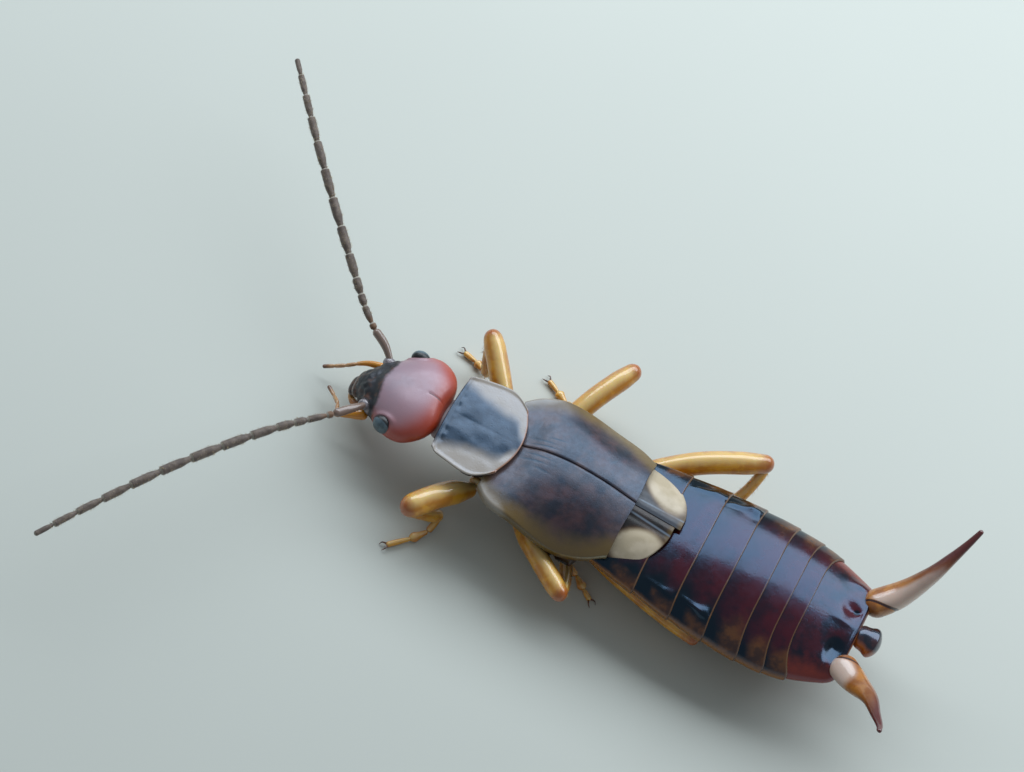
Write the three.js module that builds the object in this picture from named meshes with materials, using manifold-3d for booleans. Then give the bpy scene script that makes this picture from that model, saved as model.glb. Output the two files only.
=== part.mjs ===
// A life-size male earwig with raised, outcurved forceps, standing still on its six feet.
// Millimetres. The head looks along +X, the animal's left side is +Y and the feet rest at z = 0.

import * as THREE from 'three';
import { mergeVertices } from 'three/addons/utils/BufferGeometryUtils.js';
import Module from 'manifold-3d';

const wasm = await Module();
wasm.setup();

// Clear space between neighbouring pieces
const GAP = 0.04;

// Head, measured along its own axes, which slope down towards the mouth
const HEAD_CENTRE = new THREE.Vector3(5.5, -0.05, 1.3);
const HEAD_SLOPE = THREE.MathUtils.degToRad(25);
const HEAD_HALF_LENGTH = 1.2;
const HEAD_HALF_WIDTH = 1.25;
const HEAD_RISE = 0.62;
const HEAD_DEPTH = 0.52;
const HEAD_NOTCH = 0.09;
const HEAD_NOTCH_HALF_WIDTH = 0.45;
const HEAD_LOBES = 1.04;
const HEAD_NARROWING = 0.52;
const HEAD_FULLNESS = 0.35;
const EYE_PLACE = new THREE.Vector3(-0.03, 1.02, 0.206);
const EYE_HALF_SIZE = new THREE.Vector3(0.27, 0.2, 0.27);
const MOUTH_PLACE = new THREE.Vector3(1.18, 0, -0.12);
const MOUTH_HALF_SIZE = new THREE.Vector3(0.3, 0.4, 0.22);

// Feelers
const FEELER_RADIUS = 0.25;
const PALP_RADIUS = 0.21;

// Pronotum: the shield behind the head
const PRONOTUM_FRONT = 4.37;
const PRONOTUM_REAR = 2.45;
const PRONOTUM_REAR_ARC = 0.3;
const PRONOTUM_TOP = 2.04;
const PRONOTUM_FALL = 0.05;
const PRONOTUM_FRONT_ARC = -0.05;
const PRONOTUM_THICKNESS = 0.45;

// Wing cases and the tips of the folded hind wings
const TEGMEN_FRONT = 2.85;
const TEGMEN_REAR = -0.56;
const TEGMEN_HALF_WIDTH = 1.8;
const TEGMEN_SIDE_BEND = 2.6;
const WING_THICKNESS = 0.5;
const WING_TIP_END = -1.8;
const WING_TIP_TOP = 2.24;
const WING_TIP_HALF_WIDTH = 1.42;
const WING_TIP_FALL = 0.05;
const WING_TIP_SIDE_DROP = 0.5;
const WING_TIP_SIDE_BEND = 2.4;
const WING_TIP_END_SHARE = 0.93;
const WING_TIP_END_ROUNDNESS = 2.2;

// Trunk
const BELLY_RISE = 0.68;
const THORAX_SIDE = 1.15;
const THORAX_SWELL = 0.08;
const PROTHORAX = { front: 4.1, rear: 2.62, halfWidth: 0.8, top: 1.42 };
const PTEROTHORAX_FRONT = 2.58;
const NECK_ROUTE = [[4.14, 0, 1.1], [4.85, 0, 1.35]];
const NECK_RADIUS = 0.42;
const ABDOMEN_START = -0.12;
const ABDOMEN_MARGINS = [-1.47, -2.5, -3.43, -4.34, -5.03, -5.6, -6.66];
const ABDOMEN_NAMES = [2, 3, 4, 5, 6, 7, 10];
const RING_SWELL = 0.035;
const PYGIDIUM_PLACE = new THREE.Vector3(-6.95, 0, 1.8);
const PYGIDIUM_HALF_SIZE = new THREE.Vector3(0.32, 0.42, 0.32);

// Forceps
const FORCEPS_BASE_RADIUS = 0.36;
const FORCEPS_TIP_RADIUS = 0.15;

// Share of its thickness that a limb keeps at its very ends, and how late its ends round off
const LIMB_END_SHARE = 0.6;
const LIMB_END_BLUNTNESS = 24;

// Legs: points from hip to claws, x, y, z; the bow moves the middle of the thigh off the straight line
const COXA_RADIUS = 0.3;
const FEMUR_END_SHARE = 0.88;
const FEMUR_SWELL = 0.24;
const FEMUR_SWELL_END = 0.8;
const FEMUR_RADIUS = 0.29;
const SHANK_RADIUS = 0.25;
const LEGS = {
  leg_fore_left: {
    hip: [2.95, 0.35, 0.78], trochanter: [2.98, 0.92, 0.72], knee: [4.2, 2.57, 1.15],
    ankle: [3.36, 1.74, 0.3], toes: [[3.46, 2.2, 0.2], [3.72, 2.56, 0.2], [4.16, 3.02, 0.2]],
    bow: [0, -0.06, 0.12],
  },
  leg_mid_left: {
    hip: [1.95, 0.35, 0.66], trochanter: [1.8, 0.95, 0.56], knee: [-0.16, 2.63, 1.2],
    ankle: [0.22, 1.2, 0.3], toes: [[-0.15, 1.32, 0.2], [-0.44, 1.52, 0.2], [-0.72, 1.71, 0.2]],
    bow: [0.1, 0, 0.12],
  },
  leg_hind_left: {
    hip: [0.75, 0.35, 0.7], trochanter: [0.3, 0.68, 0.5], knee: [-3.44, 1.6, 0.6],
    ankle: [-2.25, 0.62, 0.27], toes: [[-2.6, 0.5, 0.2], [-3.0, 0.45, 0.2], [-3.5, 0.5, 0.2]],
    bow: [0, 0.1, 0.06],
  },
  leg_fore_right: {
    hip: [2.95, -0.35, 0.78], trochanter: [2.98, -0.92, 0.72], knee: [4.5, -2.8, 1.4],
    ankle: [4.08, -2.24, 0.3], toes: [[4.25, -2.42, 0.2], [4.5, -2.55, 0.2], [4.88, -2.64, 0.2]],
    bow: [0, 0, 0.12],
  },
  leg_mid_right: {
    hip: [1.95, -0.35, 0.66], trochanter: [2.1, -0.95, 0.56], knee: [0.92, -3.78, 1.5],
    ankle: [1.78, -2.62, 0.3], toes: [[2.1, -2.72, 0.2], [2.4, -2.9, 0.2], [2.74, -3.08, 0.2]],
    bow: [0.06, -0.05, 0.2],
  },
  leg_hind_right: {
    hip: [0.75, -0.4, 0.7], trochanter: [0.35, -0.95, 0.6], knee: [-3.04, -3.32, 1.3],
    ankle: [-2.5, -2.05, 0.3], toes: [[-2.85, -2.1, 0.2], [-3.2, -2.2, 0.2], [-3.65, -2.3, 0.2]],
    bow: [0, -0.08, 0.42],
  },
};

// Feeler routes, from the head outwards
const SCAPES = {
  left: [[6.12, 0.52, 1.25], [6.4, 0.94, 1.42], [6.69, 1.34, 1.5]],
  right: [[6.12, -0.66, 1.25], [6.5, -0.98, 1.42], [6.89, -1.16, 1.5]],
};
const ANTENNAE = {
  left: [[6.75, 1.41, 1.5], [7.65, 2.43, 1.6], [8.57, 3.69, 1.7], [9.49, 5.12, 1.8], [10.3, 6.49, 1.8],
    [11.19, 8.11, 1.8]],
  right: [[6.96, -1.23, 1.53], [7.38, -1.55, 1.6], [8.19, -2.33, 1.8], [9.24, -3.39, 2.0],
    [10.35, -4.56, 2.2], [12.0, -6.53, 2.2]],
};
const PALPS = {
  left: [[6.35, 0.55, 0.62], [6.83, 0.62, 0.5], [7.03, 0.43, 0.42], [7.29, 0.12, 0.32]],
  right: [[6.3, -0.8, 0.8], [6.73, -0.7, 0.72], [7.18, -0.45, 0.55], [7.68, -0.25, 0.3]],
};
const FORCEPS_ROUTE = [[-6.6, 0.85, 1.74], [-7.1, 1.32, 2.1], [-7.52, 1.84, 2.71], [-7.76, 2.32, 3.08],
  [-8.1, 3.04, 3.7]];

// Trunk outlines as heights and half widths at stations along x
const trunkHalfWidth = curveThrough([[-6.66, 1.26], [-6.45, 1.42], [-5.4, 1.82], [-4.5, 1.94], [-3.5, 1.95],
  [-2.4, 1.88], [-1.3, 1.73], [0.2, 1.5]]);
const trunkTop = curveThrough([[-6.66, 1.98], [-5.6, 2.16], [-4.2, 2.24], [-3.2, 2.2], [-1.8, 2.02], [0.2, 1.7]]);
const trunkBelly = curveThrough([[-6.66, 1.05], [-5.6, 0.78], [-4.2, 0.68], [-1.8, 0.7], [0.2, 0.72]]);
const trunkSide = curveThrough([[-6.66, 1.56], [-5.5, 1.4], [-3.5, 1.44], [-1.3, 1.6], [0.2, 1.6]]);
const tegmenOuter = curveThrough([[-0.56, 1.43], [-0.1, 1.68], [0.5, 1.84], [1.1, 1.86], [1.7, 1.8], [2.2, 1.7],
  [2.6, 1.54], [2.85, 1.3]]);
const tegmenRidge = curveThrough([[-0.56, 2.3], [0.2, 2.34], [1.2, 2.31], [2.0, 2.16], [2.85, 1.92]]);
const tegmenSideDrop = curveThrough([[-0.56, 0.75], [0.5, 0.72], [1.1, 0.56], [1.7, 0.34], [2.3, 0.12], [2.85, 0.08]]);
const pronotumHalfWidth = curveThrough([[0, 1.1], [0.14, 1.19], [0.7, 1.31], [0.86, 1.26], [1, 1.0]]);
const thoraxHalfWidth = curveThrough([[-0.08, 1.5], [0.8, 1.45], [1.5, 1.25], [2.58, 1.15]]);
const thoraxCeiling = curveThrough([[-0.1, 1.66], [1.4, 1.7], [2.6, 1.3]]);

// A smooth function through a few stations, each a place and a value, in rising order of place
function curveThrough(stations) {
  const slope = (i) => {
    const a = stations[Math.max(i - 1, 0)];
    const b = stations[Math.min(i + 1, stations.length - 1)];
    return (b[1] - a[1]) / (b[0] - a[0]);
  };
  return (x) => {
    let i = 0;
    while (i < stations.length - 2 && x > stations[i + 1][0]) i += 1;
    const [x0, y0] = stations[i];
    const [x1, y1] = stations[i + 1];
    const t = THREE.MathUtils.clamp((x - x0) / (x1 - x0), 0, 1);
    const run = x1 - x0;
    return y0 * (2 * t ** 3 - 3 * t ** 2 + 1) + slope(i) * run * (t ** 3 - 2 * t ** 2 + t)
      + y1 * (3 * t ** 2 - 2 * t ** 3) + slope(i + 1) * run * (t ** 3 - t ** 2);
  };
}

const vector = (p) => new THREE.Vector3(...p);

// Moves every vertex of a geometry to the place that a function gives
function shaped(geometry, place) {
  const position = geometry.getAttribute('position');
  const v = new THREE.Vector3();
  for (let i = 0; i < position.count; i += 1) {
    v.fromBufferAttribute(position, i);
    place(v);
    position.setXYZ(i, v.x, v.y, v.z);
  }
  geometry.deleteAttribute('normal');
  geometry.deleteAttribute('uv');
  return mergeVertices(geometry, 1e-5);
}

// The same shape with its skin moved outwards by the gap
function grown(geometry) {
  const copy = geometry.clone();
  copy.computeVertexNormals();
  const position = copy.getAttribute('position');
  const normal = copy.getAttribute('normal');
  for (let i = 0; i < position.count; i += 1) {
    position.setXYZ(
      i,
      position.getX(i) + GAP * normal.getX(i),
      position.getY(i) + GAP * normal.getY(i),
      position.getZ(i) + GAP * normal.getZ(i),
    );
  }
  return copy;
}

function toManifold(geometry) {
  return new wasm.Manifold(new wasm.Mesh({
    numProp: 3,
    vertProperties: new Float32Array(geometry.getAttribute('position').array),
    triVerts: new Uint32Array(geometry.getIndex().array),
  }));
}

// A solid with the room it needs around it
function piece(geometry) {
  return { solid: toManifold(geometry), room: toManifold(grown(geometry)) };
}

// The largest body of a cut solid
function mainBody(solid) {
  const bodies = solid.decompose();
  return bodies.reduce((best, body) => (body.volume() > best.volume() ? body : best));
}

// Cuts from a piece the room of its neighbours
function clearOf(subject, ...neighbours) {
  const cut = neighbours.reduce((left, other) => left.subtract(other.room), subject.solid);
  return { solid: mainBody(cut), room: subject.room };
}

// Keeps the part of a piece on the side of a plane that the normal points to
function trimmed(subject, normal, offset) {
  return { solid: mainBody(subject.solid.trimByPlane(normal.toArray(), offset)), room: subject.room };
}

// A round limb along a smooth route, thinner or thicker as radiusAt says, with rounded ends
function limb(route, radiusAt, sides = 8, steps = 8) {
  const curve = new THREE.CatmullRomCurve3(route.map(vector), false, 'centripetal');
  const up = new THREE.Vector3(0, 0, 1);
  return shaped(new THREE.CylinderGeometry(1, 1, 1, sides, steps, false), (v) => {
    const t = (1 - Math.cos(Math.PI * (0.5 - v.y))) / 2;
    const along = curve.getTangentAt(t);
    const side = new THREE.Vector3().crossVectors(up, along).normalize();
    const over = new THREE.Vector3().crossVectors(along, side);
    const rounding = Math.max(LIMB_END_SHARE, Math.sqrt(1 - Math.abs(2 * t - 1) ** LIMB_END_BLUNTNESS));
    const radius = radiusAt(t) * rounding;
    const centre = curve.getPointAt(t);
    v.set(
      centre.x + radius * (v.x * side.x + v.z * over.x),
      centre.y + radius * (v.x * side.y + v.z * over.y),
      centre.z + radius * (v.x * side.z + v.z * over.z),
    );
  });
}

// A length of the trunk between two stations, swollen a little towards its hind end
function trunkRing(front, rear, halfWidth, top, side, belly, swell, sides = 22) {
  return shaped(new THREE.CylinderGeometry(1, 1, 1, sides, 2, false), (v) => {
    const t = 0.5 - v.y;
    const x = THREE.MathUtils.lerp(front, rear, t);
    const flare = 1 - swell * (1 - t) ** 2;
    const height = v.z > 0 ? top(x) - side(x) : side(x) - belly(x);
    v.set(x, -v.x * halfWidth(x) * flare, side(x) + v.z * height * flare);
  });
}

// A curved plate: front and rear give x at a place across, edge gives y along it, top gives z
function plate(front, rear, edge, top, thickness, stepsAlong, stepsAcross) {
  return shaped(new THREE.BoxGeometry(1, 1, 1, stepsAlong, stepsAcross, 1), (v) => {
    const s = 0.5 - v.x;
    const y = edge(s, v.y + 0.5);
    const x = THREE.MathUtils.lerp(front(y), rear(y), s);
    v.set(x, y, top(x, y) - thickness * (0.5 - v.z));
  });
}

// Carries a point from the head's own axes to the animal's
function fromHead(v) {
  return v.applyAxisAngle(new THREE.Vector3(0, 1, 0), HEAD_SLOPE).add(HEAD_CENTRE);
}

// Heart-shaped capsule: two round lobes behind, narrowing to the mouth
function headGeometry() {
  return shaped(new THREE.SphereGeometry(1, 22, 14), (v) => {
    const narrow = HEAD_LOBES - HEAD_NARROWING * THREE.MathUtils.smoothstep(v.x, -0.5, 1);
    const ring = Math.sqrt(Math.max(1 - v.x ** 2, 0));
    const fuller = ring > 0.001 ? ring ** -HEAD_FULLNESS : 1;
    const across = v.y * HEAD_HALF_WIDTH * narrow * fuller;
    const notch = HEAD_NOTCH * Math.max(-v.x, 0) ** 3 * Math.exp(-((across / HEAD_NOTCH_HALF_WIDTH) ** 2));
    const height = v.z * (v.z > 0 ? HEAD_RISE : HEAD_DEPTH) * fuller;
    fromHead(v.set(v.x * HEAD_HALF_LENGTH + notch, across, height));
  });
}

// An egg-shaped solid placed on the head
function headEgg(place, halfSize, sides, rings) {
  return shaped(new THREE.SphereGeometry(1, sides, rings), (v) => {
    fromHead(v.multiply(halfSize).add(place));
  });
}

function pronotumGeometry() {
  const front = (y) => PRONOTUM_FRONT + PRONOTUM_FRONT_ARC * y * y;
  const rear = (y) => PRONOTUM_REAR + PRONOTUM_REAR_ARC * y * y;
  const edge = (s, across) => (2 * across - 1) * pronotumHalfWidth(s);
  const top = (x, y) => PRONOTUM_TOP - PRONOTUM_FALL * (x - PRONOTUM_REAR + y * y);
  return plate(front, rear, edge, top, PRONOTUM_THICKNESS, 8, 8);
}

// Wing cases meet along the back with a fine seam; their outer edges bend down
function tegmenGeometry(side) {
  const edge = (s, across) => {
    const outer = tegmenOuter(THREE.MathUtils.lerp(TEGMEN_FRONT, TEGMEN_REAR, s));
    const reach = side > 0 ? across : 1 - across;
    return side * (GAP / 2 + reach * (outer - GAP / 2));
  };
  const top = (x, y) => tegmenRidge(x) - tegmenSideDrop(x) * (Math.abs(y) / TEGMEN_HALF_WIDTH) ** TEGMEN_SIDE_BEND;
  return plate(() => TEGMEN_FRONT, () => TEGMEN_REAR, edge, top, WING_THICKNESS, 8, 6);
}

function wingTipGeometry(side) {
  const start = TEGMEN_REAR - GAP;
  const edge = (s, across) => {
    const narrowing = (WING_TIP_END_SHARE * s) ** WING_TIP_END_ROUNDNESS;
    const outer = WING_TIP_HALF_WIDTH * Math.sqrt(Math.max(1 - narrowing, 0));
    const reach = side > 0 ? across : 1 - across;
    return side * (GAP / 2 + reach * (outer - GAP / 2));
  };
  const sideDrop = (y) => WING_TIP_SIDE_DROP * (Math.abs(y) / WING_TIP_HALF_WIDTH) ** WING_TIP_SIDE_BEND;
  const top = (x, y) => WING_TIP_TOP - WING_TIP_FALL * (start - x) - sideDrop(y);
  return plate(() => start, () => WING_TIP_END, edge, top, WING_THICKNESS, 7, 5);
}

function thoraxGeometry(front, rear, halfWidth, ceiling) {
  return trunkRing(front, rear, halfWidth, ceiling, () => THORAX_SIDE, () => BELLY_RISE, THORAX_SWELL, 16);
}

// Each length of the abdomen from one hind margin to the next
function abdomenGeometries() {
  return ABDOMEN_MARGINS.map((margin, i) => {
    const start = i === 0 ? ABDOMEN_START : ABDOMEN_MARGINS[i - 1] - GAP;
    return trunkRing(start, margin, trunkHalfWidth, trunkTop, trunkSide, trunkBelly, RING_SWELL);
  });
}

// The knob between the forceps
function pygidiumGeometry() {
  return shaped(new THREE.SphereGeometry(1, 12, 7), (v) => {
    v.multiply(PYGIDIUM_HALF_SIZE).add(PYGIDIUM_PLACE);
  });
}

function forcepsGeometry(side) {
  const route = FORCEPS_ROUTE.map(([x, y, z]) => [x, side * y, z]);
  const radius = (t) => THREE.MathUtils.lerp(FORCEPS_BASE_RADIUS, FORCEPS_TIP_RADIUS, t ** 0.75);
  return limb(route, radius, 10, 10);
}

// Plane at a joint that shares the room between the two lengths that meet there
function mitre(before, joint, after) {
  const towardsBefore = vector(before).sub(vector(joint)).normalize();
  const towardsAfter = vector(after).sub(vector(joint)).normalize();
  const normal = towardsBefore.sub(towardsAfter).normalize();
  return { normal, offset: normal.dot(vector(joint)) };
}

const keepBefore = (part, cut) => trimmed(part, cut.normal, cut.offset + GAP / 2);
const keepAfter = (part, cut) => trimmed(part, cut.normal.clone().negate(), GAP / 2 - cut.offset);

// Hip, thigh, shin and foot of one leg; the foot's sole is cut flat at z = 0
function legPieces({ hip, trochanter, knee, ankle, toes, bow }) {
  const middle = vector(trochanter).lerp(vector(knee), 0.5).add(vector(bow)).toArray();
  const hipCut = mitre(hip, trochanter, knee);
  const kneeCut = mitre(trochanter, knee, ankle);
  const ankleCut = mitre(knee, ankle, toes[0]);
  const swell = (t) => FEMUR_SWELL * Math.sin(Math.PI * Math.min(t / FEMUR_SWELL_END, 1));
  const thick = (t) => FEMUR_RADIUS * (FEMUR_END_SHARE + swell(t));
  const coxa = keepBefore(piece(limb([hip, trochanter], () => COXA_RADIUS, 8, 3)), hipCut);
  const femur = keepBefore(keepAfter(piece(limb([trochanter, middle, knee], thick, 8, 5)), hipCut), kneeCut);
  const tibia = keepBefore(keepAfter(piece(limb([knee, ankle], () => SHANK_RADIUS, 8, 4)), kneeCut), ankleCut);
  const foot = keepAfter(piece(limb([ankle, ...toes], () => SHANK_RADIUS, 8, 5)), ankleCut);
  const tarsus = trimmed(foot, new THREE.Vector3(0, 0, 1), 0);
  return { coxa, femur, tibia, tarsus };
}

const finishes = {
  head: new THREE.MeshStandardMaterial({ color: 0x9e3518, roughness: 0.35, metalness: 0 }),
  mouth: new THREE.MeshStandardMaterial({ color: 0x3a211a, roughness: 0.4, metalness: 0 }),
  eye: new THREE.MeshStandardMaterial({ color: 0x4f6570, roughness: 0.3, metalness: 0 }),
  feeler: new THREE.MeshStandardMaterial({ color: 0x7a6a5e, roughness: 0.6, metalness: 0 }),
  amber: new THREE.MeshStandardMaterial({ color: 0xd8a63a, roughness: 0.4, metalness: 0 }),
  shield: new THREE.MeshStandardMaterial({ color: 0x5e6670, roughness: 0.4, metalness: 0 }),
  wingCase: new THREE.MeshStandardMaterial({ color: 0x54443f, roughness: 0.4, metalness: 0 }),
  wingTip: new THREE.MeshStandardMaterial({ color: 0xd6d0be, roughness: 0.5, metalness: 0 }),
  abdomen: new THREE.MeshStandardMaterial({ color: 0x3b1214, roughness: 0.25, metalness: 0 }),
  forceps: new THREE.MeshStandardMaterial({ color: 0xb98a6a, roughness: 0.3, metalness: 0 }),
};

const earwig = new THREE.Group();

function addNode(name, subject, material) {
  const { vertProperties, triVerts } = subject.solid.getMesh();
  const geometry = new THREE.BufferGeometry();
  geometry.setAttribute('position', new THREE.BufferAttribute(new Float32Array(vertProperties), 3));
  geometry.setIndex(new THREE.BufferAttribute(new Uint32Array(triVerts), 1));
  geometry.computeVertexNormals();
  const mesh = new THREE.Mesh(geometry, material);
  mesh.name = name;
  earwig.add(mesh);
}

const sides = { left: 1, right: -1 };
const mirrored = (place, side) => new THREE.Vector3(place.x, side * place.y, place.z);

function addHead() {
  const head = piece(headGeometry());
  const eyes = {};
  for (const [name, side] of Object.entries(sides)) {
    eyes[name] = piece(headEgg(mirrored(EYE_PLACE, side), EYE_HALF_SIZE, 11, 7));
    addNode(`eye_${name}`, eyes[name], finishes.eye);
  }
  addNode('head', clearOf(head, eyes.left, eyes.right), finishes.head);
  const mouth = piece(headEgg(MOUTH_PLACE, MOUTH_HALF_SIZE, 12, 7));
  addNode('mouth', clearOf(mouth, head), finishes.mouth);
  for (const name of Object.keys(sides)) {
    const scape = piece(limb(SCAPES[name], () => FEELER_RADIUS, 8, 5));
    const palp = piece(limb(PALPS[name], () => PALP_RADIUS, 8, 6));
    addNode(`palp_${name}`, clearOf(palp, head, mouth, scape), finishes.amber);
    addNode(`scape_${name}`, clearOf(scape, head), finishes.amber);
    addFeeler(name, scape);
  }
  return head;
}

// The feeler beyond its first joint, in an inner and an outer length
function addFeeler(name, scape) {
  const route = ANTENNAE[name];
  const half = route.length / 2;
  const cut = mitre(route[half - 1], route[half], route[half + 1]);
  const inner = keepBefore(piece(limb(route.slice(0, half + 1), () => FEELER_RADIUS, 8, 6)), cut);
  const outer = keepAfter(piece(limb(route.slice(half), () => FEELER_RADIUS, 8, 6)), cut);
  addNode(`antenna_${name}_inner`, clearOf(inner, scape), finishes.feeler);
  addNode(`antenna_${name}_outer`, outer, finishes.feeler);
}

// Every leg; a foot or shin gives way where it passes another leg's thigh
function addLegs() {
  const legs = Object.entries(LEGS).map(([name, points]) => [name, legPieces(points)]);
  const thighs = legs.map(([, leg]) => leg.femur);
  for (const [name, { coxa, femur, tibia, tarsus }] of legs) {
    const others = thighs.filter((thigh) => thigh !== femur);
    addNode(`${name}_coxa`, coxa, finishes.amber);
    addNode(`${name}_femur`, femur, finishes.amber);
    addNode(`${name}_tibia`, clearOf(tibia, ...others), finishes.amber);
    addNode(`${name}_tarsus`, clearOf(tarsus, ...others), finishes.amber);
  }
  return legs.flatMap(([, leg]) => [leg.coxa, leg.femur]);
}

function addTrunk(head, limbs) {
  const pronotum = piece(pronotumGeometry());
  const wings = [];
  addNode('pronotum', pronotum, finishes.shield);
  for (const [name, side] of Object.entries(sides)) {
    const tegmen = piece(tegmenGeometry(side));
    const tip = piece(wingTipGeometry(side));
    addNode(`tegmen_${name}`, clearOf(tegmen, pronotum, ...limbs), finishes.wingCase);
    addNode(`hind_wing_tip_${name}`, clearOf(tip, ...limbs), finishes.wingTip);
    wings.push(tegmen, tip);
  }
  const neck = piece(limb(NECK_ROUTE, () => NECK_RADIUS, 10, 3));
  addNode('neck', clearOf(neck, head, pronotum), finishes.mouth);
  const first = PROTHORAX;
  const prothorax = piece(thoraxGeometry(first.front, first.rear, () => first.halfWidth, () => first.top));
  const rear = ABDOMEN_START + GAP;
  const pterothorax = piece(thoraxGeometry(PTEROTHORAX_FRONT, rear, thoraxHalfWidth, thoraxCeiling));
  addNode('prothorax', clearOf(prothorax, neck, ...limbs), finishes.mouth);
  addNode('pterothorax', clearOf(pterothorax, ...limbs), finishes.mouth);
  return wings;
}

function addAbdomen(wings, limbs) {
  const pygidium = piece(pygidiumGeometry());
  const pincers = Object.values(sides).map((side) => piece(forcepsGeometry(side)));
  const rings = abdomenGeometries().map(piece);
  rings.forEach((ring, i) => {
    const last = i === rings.length - 1;
    const neighbours = last ? [pygidium, ...pincers] : [...wings, ...limbs];
    addNode(`abdomen_${ABDOMEN_NAMES[i]}`, clearOf(ring, ...neighbours), finishes.abdomen);
  });
  addNode('pygidium', clearOf(pygidium, ...pincers), finishes.abdomen);
  Object.keys(sides).forEach((name, i) => addNode(`forceps_${name}`, pincers[i], finishes.forceps));
}

const head = addHead();
const limbs = addLegs();
const wings = addTrunk(head, limbs);
addAbdomen(wings, limbs);

// The origin lies under the middle of the whole animal, on the floor
const box = new THREE.Box3().setFromObject(earwig);
const middle = box.getCenter(new THREE.Vector3());
earwig.position.set(-middle.x, -middle.y, -box.min.z);
earwig.updateMatrixWorld(true);

export default earwig;
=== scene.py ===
# A life-size male earwig, standing still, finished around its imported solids.
# Shapes are made in millimetres, head along +X and left side along +Y, then carried into the frame.

import functools
import math
import random

import bmesh
import bpy
from mathutils import Matrix, Vector, kdtree, noise


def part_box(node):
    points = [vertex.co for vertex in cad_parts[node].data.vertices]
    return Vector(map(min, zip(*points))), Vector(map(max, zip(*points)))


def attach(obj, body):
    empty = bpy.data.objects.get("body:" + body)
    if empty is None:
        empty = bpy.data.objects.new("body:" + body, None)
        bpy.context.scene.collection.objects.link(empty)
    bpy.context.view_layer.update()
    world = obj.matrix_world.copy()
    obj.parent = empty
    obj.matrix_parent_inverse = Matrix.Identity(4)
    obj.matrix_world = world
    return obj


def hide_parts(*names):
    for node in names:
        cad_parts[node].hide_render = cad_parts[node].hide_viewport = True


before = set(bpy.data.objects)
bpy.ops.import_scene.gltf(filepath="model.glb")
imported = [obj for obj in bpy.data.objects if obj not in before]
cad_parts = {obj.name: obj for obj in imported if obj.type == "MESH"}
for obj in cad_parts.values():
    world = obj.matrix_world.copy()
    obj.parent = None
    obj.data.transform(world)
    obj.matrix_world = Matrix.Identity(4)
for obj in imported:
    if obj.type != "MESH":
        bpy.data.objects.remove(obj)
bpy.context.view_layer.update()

# Millimetres to metres, and the shift from the animal's own axes to the frame
MM = 0.001
WING_TIP_END = -1.8
WING_TIP_SEAM = 0.02
wing_tip_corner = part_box("hind_wing_tip_left")[0] / MM
SHIFT = Vector((wing_tip_corner.x - WING_TIP_END, wing_tip_corner.y - WING_TIP_SEAM, 0))
INTO_FRAME = Matrix.Scale(MM, 4) @ Matrix.Translation(SHIFT)

UP = Vector((0, 0, 1))
SIDES = {"left": 1, "right": -1}
# Points closer than this are one, the step that finds a direction, and a distance out of reach
SEAM = 0.0002
FEEL = 0.004
FAR = 9
random.seed(4)

# Hairs: where they stand along a limb, how they lean and stray, and their size in the bake map
FEELER_FUZZ = {"count": 900, "length": 0.05, "thick": 0.004}
SHIN_BRISTLES = {"count": 130, "length": 0.08, "thick": 0.005}
HAIR_PATCH = 0.003
HAIRY_SHARE = (0.05, 0.95)
HAIR_LENGTHS = (0.7, 1.2)
HAIR_LEAN = 0.8
HAIR_STRAY = 0.2
HAIR_STEP = 0.01
HAIR_TAPER = 0.2
HAIR_ROOT = 0.45

# Head, along its own axes, which slope down to the mouth
HEAD_CENTRE = Vector((5.5, -0.05, 1.3))
HEAD_SLOPE = math.radians(25)
HEAD_HALF_LENGTH = 1.2
HEAD_HALF_WIDTH = 1.25
HEAD_RISE = 0.62
HEAD_DEPTH = 0.52
HEAD_NOTCH = 0.09
HEAD_LOBES = 1.04
HEAD_NARROWING = 0.52
HEAD_FULLNESS = 0.35
EYE_PLACE = Vector((0.0, 1.02, 0.2))
EYE_HALF_SIZE = Vector((0.24, 0.2, 0.26))
ORBIT_HALF_SIZE = Vector((0.33, 0.22, 0.29))
SOCKET_PLACE = Vector((0.66, 0.68, 0.24))
SOCKET_RING_PLACE = (0.67, 0.66, 0.27)
SOCKET_RING_HALF_SIZE = (0.16, 0.14, 0.13)
CROWN_LINE = ((-1.1, 0), (-0.82, 0))
BROW_LINE = ((0.62, 0), (0.45, 0.55))
LENS_SPACING = 0.045
LENS_SWELL = 0.012
EYE_CUT = -0.45

# Pronotum: the shield behind the head
PRONOTUM_FRONT = 4.37
PRONOTUM_REAR = 2.45
PRONOTUM_REAR_ARC = 0.3
PRONOTUM_TOP = 2.03
SHIELD_THICKNESS = 0.05

# Neck, and the underside of the thorax
NECK_ROUTE = ((3.95, -0.02, 1.3), (4.35, -0.03, 1.36), (4.72, -0.04, 1.42))
NECK_FOLDS = 3.2
THORAX_SIDE = 1.15
COLLAR_ENDS = (4.15, 2.55)
COLLAR_HALF_WIDTH = 0.9
COLLAR_BELLY = 0.7
COLLAR_PLATES = (0.2, 0.62)
CHEST_ENDS = (2.7, -0.15)
CHEST_BELLY = 0.66
CHEST_PLATES = (0.08, 0.42, 0.75)
CHEST_ROUNDING = 0.3

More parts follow.
